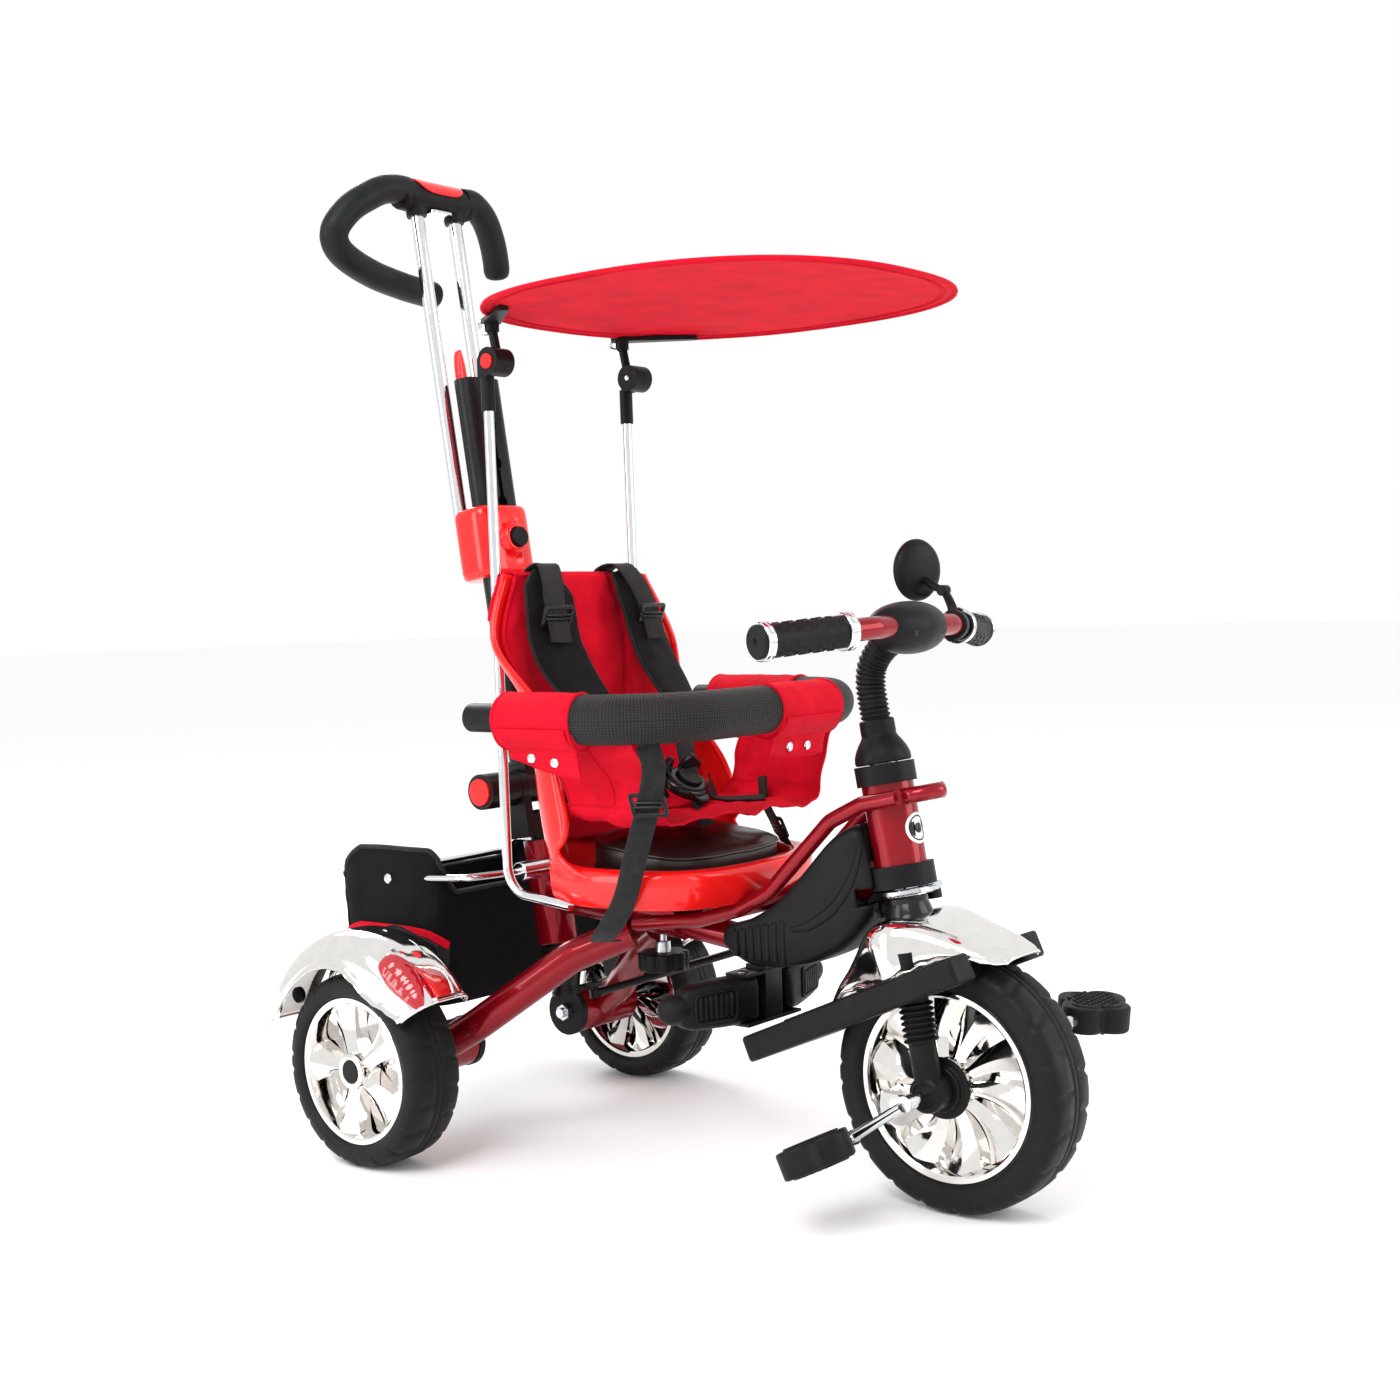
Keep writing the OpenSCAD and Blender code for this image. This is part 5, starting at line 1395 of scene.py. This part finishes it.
for side, word in SIDES:
    m = place(side * 106, -104, CAN_Z - 8)
    cap = [(-7, 8.5), (-4, 8.8), (0, 8.8), (3, 8.2), (5, 6.5), (5.8, 3), (6, 0.3)]
    add(lathe("canopy_arm_cap_" + word, cap, "chrome", m @ Matrix.Translation((0, 14, 0)), "Y", n=32,
        sharp=50), "canopy")
    add(lathe("canopy_elbow_screw_" + word, [(-side * (12.8 + 0.6), 0.3), (-side * 13.8, 2.8), (-side * 12,
        3.2)], "chrome", centre=(side * 113, -112, 857), n=20), "canopy")

# ---------------------------------------------------------------- basket
def basket_ring(f, inset):
    """Ring of the bag at height share f, 0 at the floor. The ends rise in ears that lean forward."""
    a, b = 150 - 12 * (1 - f) - inset, 84 - 7 * (1 - f) - inset
    ring = []
    for k in range(120):
        t = TAU * k / 120
        c, s = cos(t), sin(t)
        x = a * copysign(abs(c) ** 0.28, c)
        y = 61 + b * copysign(abs(s) ** 0.28, s)
        ear = min(1.0, max(0.0, (abs(x) - 112) / 34)) ** 1.3
        back = min(1.0, max(0.0, (y - 90) / 55))
        front = min(1.0, max(0.0, (10 - y) / 55))
        top = 280 + ear * (50 - 44 * back ** 1.6 - 20 * front ** 3)
        z = 153 + (top - 153) * f
        y -= 26 * ear * front ** 0.7 * min(1.0, 0.25 + 1.1 * f)
        sag = sin(pi * min(1, f)) * 4.0
        d = Vector((c, s)).normalized()
        w = wobble((x, y, z), 0.022, 5.0, 11.0) + wobble((x, y, z), 0.05, 1.8, 13.0)
        k2 = (sag + w) * sin(pi * min(1, f) * 0.85 + 0.12)
        ring.append((x + d.x * k2 * 0.8 - (2.5 * copysign(1, x) * f if abs(x) > 140 else 0), y + d.y * k2,
            z))
    return ring


heights = [i / 26 for i in range(27)]
rings = [basket_ring(h, 0) for h in heights]
rings += [basket_ring(1.0, 1.2)] + [basket_ring(h, 2.6) for h in reversed(heights[1:])]
floor = basket_ring(0.04, 4)
rings += [[(x * k, 61 + (y - 61) * k, z + 1.5 + wobble((x * k, y * k, 0), 0.03, 3.0)) for x, y, z in floor]
    for k in (1.0, 0.8, 0.5, 0.2, 0.01)]
bag = loft("basket_shell", rings, "bag", sharp=80)
add(bag, "frame", replaced="basket_bag")
o = bead("basket_piping", [Vector(p) for p in basket_ring(1.0, 0.6)], 2.8, "webbing",
    lambda p, t: t.cross(Vector((0.01, 0.02, 1)) if abs(t.z) < 0.9 else Vector((1, 0, 0))).normalized())
add(o, "frame")
for side, word in SIDES:
    patch = []
    for i in range(15):
        f = 0.06 + 0.42 * i / 14
        row = []
        ring = basket_ring(f, -1.6)
        for k in (range(42, 79) if side < 0 else [j % 120 for j in range(-18, 19)]):
            x, y, z = ring[k]
            row.append((x + side * 1.4 * sin(pi * i / 14), y, z))
        patch.append(row)
    o = loft("basket_net_" + word, patch, "net", wrap=False, sharp=80)
    modifier(o, "SOLIDIFY", thickness=1.2 * MM, offset=1)
    add(o, "frame")
    trim = [Vector(p) + Vector((side * 1.2, 0, 1.5)) for p in patch[-1]]
    add(ribbon("basket_trim_" + word, trim, 9, 2.2, "fabric_soft", (0, 0, 1)), "frame")
    ring = basket_ring(0.80, -0.6)
    k = 60 if side < 0 else 0
    snap("basket_snap_" + word, Vector(ring[k]) + Vector((side * 0.8, -10, 0)), Vector((side, 0, 0)),
        "frame", 6.0)

# ---------------------------------------------------------------- mudguards
PLUG_ANGLE, PLUG_R = 28, 136
GUARD_LOW = [(14, 135), (19, 126), (30, 120), (42, 118), (60, 117), (75, 115), (90, 111), (100, 103),
    (112, 96), (122, 96), (133, 103), (144, 112)]


def guard_low(angle):
    """Radius of the outer edge at an angle round the axle, counted up from the back."""
    for (a, r), (b, q) in zip(GUARD_LOW, GUARD_LOW[1:]):
        if angle <= b:
            f = (angle - a) / (b - a)
            f = f * f * (3 - 2 * f)
            return r + (q - r) * f
    return GUARD_LOW[-1][1]


def guard_section(angle, lift=0.0):
    """Arched section of the mudguard, from its inner edge over the crown to the outer lip: (x, radius)."""
    top = 152 - 4 * (angle - 14) / 130 + lift
    low = guard_low(angle)
    line = []
    for k in range(11):
        q = pi / 2 * (1 - k / 10)
        line.append((214 - 30 * sin(q) ** 0.9, top - 20 * (1 - cos(q)) ** 1.1))
    line += [(220, top), (226, top - 0.2)]
    for k in range(1, 15):
        q = pi / 2 * k / 14
        line.append((230 + (31.5 + lift) * sin(q), top - 31 * (1 - cos(q)) ** 1.05 - 0.2))
    edge = max(low, 90)
    start = line[-1][1]
    line += [(262.0, start + (edge - start) * 0.4), (262.4, start + (edge - start) * 0.75),
        (262.8, edge + 2.5), (264.0, edge + 1.0), (265.8, edge + 0.3), (266.8, edge - 0.9),
        (266.0, edge - 2.0), (263.4, edge - 1.6), (261.0, edge + 0.4)]
    return line


def guard_place(side, angle, x, r):
    a = radians(angle)
    return Vector((side * x, r * cos(a), REAR_AXLE_Z + r * sin(a)))


for side, word in SIDES:
    rings = []
    for i in range(66):
        angle = 14 + 2 * i
        rings.append([guard_place(side, angle, x, r) for x, r in guard_section(angle)])
    o = loft("mudguard_" + word, rings, "plated", wrap=False, sharp=70)
    modifier(o, "SOLIDIFY", thickness=2.0 * MM, offset=-1)
    add(o, "frame", replaced="mudguards" if side < 0 else ())
    for end, angle in (("front", 144), ("rear", 14)):
        line = [guard_place(side, angle, x, r - 0.8) for x, r in guard_section(angle)[:-6]]
        add(tube("mudguard_lip_%s_%s" % (end, word), line, 1.7, "plated", n=12, side=(0.1, 1, 0.3),
            sharp=80), "frame")
    plate = [(-70, 130), (-16, 0), (16, 0), (70, 131), (0, 148.5)]
    o = prism("mudguard_stay_" + word, rounded([(y, z + REAR_AXLE_Z) for y, z in plate], 9), side * 183.6,
        side * 186, "mast", plane="YZ", bevel=0.6, segments=2)
    add(o, "frame")
    rows = []
    for i in range(31):
        angle = 114 + 30 * i / 30
        f = i / 30
        wide = sin(pi * min(0.985, 0.10 + 0.86 * f ** 0.8)) ** 0.7
        line = guard_section(angle, 0.6)
        crown = [p for p in line if p[0] >= 214 and p[1] > 118][:18]
        a0, a1 = 9.5 - 5.0 * wide, 9.5 + 5.0 * wide
        row = []
        for k in range(15):
            g = a0 + (a1 - a0) * k / 14
            j = min(len(crown) - 2, int(g))
            (x0, r0), (x1, r1) = crown[j], crown[j + 1]
            n = Vector((r0 - r1, x1 - x0)).normalized()
            rise = 2.2 * (sin(pi * k / 14) ** 0.5) * min(1, 6 * min(f, 1 - f) + 0.1)
            slot = 1.3 if i % 5 == 2 and 2 < k < 12 and 4 < i < 27 else 0.0
            row.append(guard_place(side, angle, x0 + (x1 - x0) * (g - j) + n.x * (rise - slot),
                r0 + (r1 - r0) * (g - j) + n.y * (rise - slot)))
        rows.append(row)
    o = loft("mudguard_lens_" + word, rows, "lens", wrap=False, sharp=60)
    modifier(o, "SOLIDIFY", thickness=0.8 * MM, offset=-1)
    add(o, "frame")
    disc = sided(side, ((222, 9), (226.5, 9), (227.3, 8.2), (227.6, 0.3)))
    add(lathe("mudguard_plug_" + word, disc, "rubber", centre=guard_place(1, PLUG_ANGLE, 0, PLUG_R), n=28),
        "frame")

# ---------------------------------------------------------------- push handle
RING = BAR @ Matrix.Translation((0, 27, 700)) @ Matrix.Rotation(radians(24), 4, "X")
near_ring = [(-44, 0, 5), (-58, 0, 5), (-78, 0, 1), (-96, 0, -8), (-122, 0, -26), (-139, 0, -50), (-136, 0,
    -68), (-116, 0, -82), (-76, 0, -95), (-30, 0, -103), (8, 0, -107), (26, 0, -109)]
far_ring = [(44, 0, 5), (62, 0, 5), (84, 0, -8), (102, 0, -30), (115, 0, -55), (122, 0, -76)]


def foam_r(path_len):
    def r(f):
        end = min(f, 1.0) * path_len
        left = (1 - f) * path_len
        return 16.2 if left > 14 else 16.2 * (0.62 + 0.38 * sqrt(max(0, 1 - (1 - left / 14) ** 2)))
    return r


rings = [[(x * k, 9 + y * k, z) for x, y in superellipse(41, 30, 3.5, 80)] for z, k in ((243, 0.87),
    (244, 0.93), (247, 0.975), (252, 1), (314, 1), (320, 0.985), (323.5, 0.95), (325, 0.88))]
o = trimmed(loft("handle_clamp_shell", rings, "red", BAR, sharp=60), [lathe("cutter_c", [(-40, 12.2),
    (12, 12.2)], "red", BAR, "Y", CLAMP_BUTTON, n=48)])
add(o, "handle", replaced="handle_clamp")
boss = [(-14, 20.4), (-20, 19.4), (-27.5, 16.8), (-29.6, 15.8), (-30.2, 14.6), (-30.2, 12.2), (-24, 12.0)]
add(lathe("handle_clamp_boss", boss, "red", BAR, "Y", CLAMP_BUTTON, n=56, sharp=40), "handle")
rings = [[(x, 23 + y, z) for x, y in superellipse(w, 5.2, 3, 32)] for z, w in ((300, 14), (330, 11),
    (400, 9.5), (470, 8), (500, 6.5), (512, 4.2), (518, 1.4))]
add(loft("handle_clamp_tongue", rings, "red", BAR, sharp=60), "handle")
for tag, pts, long in (("near", near_ring, 330), ("far", far_ring, 120)):
    o = tube("handle_foam_" + tag, smooth_path(pts, 12), foam_r(long), "foam", RING, n=36, side=(0, 1, 0),
        sharp=80)
    add(o, "handle", replaced="handle_grip" if tag == "near" else ())
core = []
for k in range(41):
    a = -54 + 108 * k / 40
    r = 18.2 - 0.9 * (abs(a) / 54) ** 4
    if abs(abs(a) - 47) < 1.4:
        r -= 1.1
    core.append((a, r if abs(a) < 53.9 else 16.4))
HEAD = BAR @ Matrix.Translation((0, 27, 700))
add(lathe("handle_bridge", core, "black", HEAD, "X", n=64, sharp=40), "handle")
rows = []
for i in range(25):
    x = -36 + 72 * i / 24
    span = 1.05 * sqrt(max(0.02, 1 - (x / 36.5) ** 4))
    rows.append([(x, 18.9 * sin(a), 18.9 * cos(a)) for a in [-span + 2 * span * j / 16 - radians(28)
        for j in range(17)]])
o = loft("handle_insert", rows, "red", HEAD, wrap=False, sharp=60)
modifier(o, "SOLIDIFY", thickness=1.6 * MM, offset=1)
add(o, "handle")
for s, word in ((-1, "near"), (1, "far")):
    socket = [(-24, 8.5), (-24, 11.2), (-22.5, 12), (-8, 12.4), (0, 13)]
    add(lathe("handle_socket_" + word, socket, "black", HEAD, "Z", (s * 30, 0, 0), n=32), "handle")
o = prism("handle_bridge_plate", rounded([(-17, -14), (17, -14), (17, 14), (-17, 14)], 6), -19.4, -16,
    "chrome", HEAD, "XY", bevel=0.8)
add(o, "handle")

# ---------------------------------------------------------------- floor, light and camera
floor = bpy.data.meshes.new("floor")
bm = bmesh.new()
bmesh.ops.create_grid(bm, x_segments=1, y_segments=1, size=30)
bm.to_mesh(floor)
bm.free()
look = Look("pale_floor", (0.96, 0.96, 0.96), 0.62, Specular_IOR_Level=0.1)
look.rough_drift(3, 0.55, 0.68)
floor.materials.append(look.material)
floor_object = bpy.data.objects.new("floor", floor)
bpy.context.scene.collection.objects.link(floor_object)

world = bpy.data.worlds.new("studio")
world.use_nodes = True
bpy.context.scene.world = world
tree = world.node_tree
back = tree.nodes["Background"]
back.inputs["Color"].default_value = (1.0, 1.0, 1.0, 1.0)
back.inputs["Strength"].default_value = 1.0
bpy.context.scene.view_settings.view_transform = "Standard"

camera_data = bpy.data.cameras.new("camera")
camera_data.lens = 46.74
camera_data.sensor_width = 36
camera_data.clip_start = 0.05
camera_data.clip_end = 80
camera = bpy.data.objects.new("camera", camera_data)
az, el, roll = radians(-51.1418), radians(2.9864), radians(-1.597)
away = Vector((sin(az) * cos(el), -cos(az) * cos(el), sin(el)))
right = Vector((0, 0, 1)).cross(away).normalized()
up = away.cross(right)
right2 = right * cos(roll) + up * sin(roll)
up2 = up * cos(roll) - right * sin(roll)
camera.matrix_world = Matrix((right2, up2, away)).transposed().to_4x4()
camera.matrix_world.translation = (-1.507, AXLE_Y - 1.50161, 0.5919)
bpy.context.scene.collection.objects.link(camera)
bpy.context.scene.camera = camera


def area_light(name, place_at, look_at, power, size, size_y=None):
    data = bpy.data.lights.new(name, "AREA")
    data.energy = power
    data.shape = "RECTANGLE"
    data.size = size
    data.size_y = size_y or size
    o = bpy.data.objects.new(name, data)
    o.location = place_at
    o.rotation_euler = (Vector(place_at) - Vector(look_at)).to_track_quat("Z", "Y").to_euler()
    bpy.context.scene.collection.objects.link(o)


area_light("key", (-2.6, -0.6, 3.0), (0, 0, 0.5), 90, 1.8)
area_light("fill", (1.4, -3.0, 1.6), (0, -0.1, 0.45), 45, 2.0)
area_light("side", (-3.0, 1.6, 1.2), (0, 0, 0.4), 35, 1.2, 2.0)
area_light("rim", (1.2, 2.6, 2.2), (0, 0, 0.6), 45, 1.4)
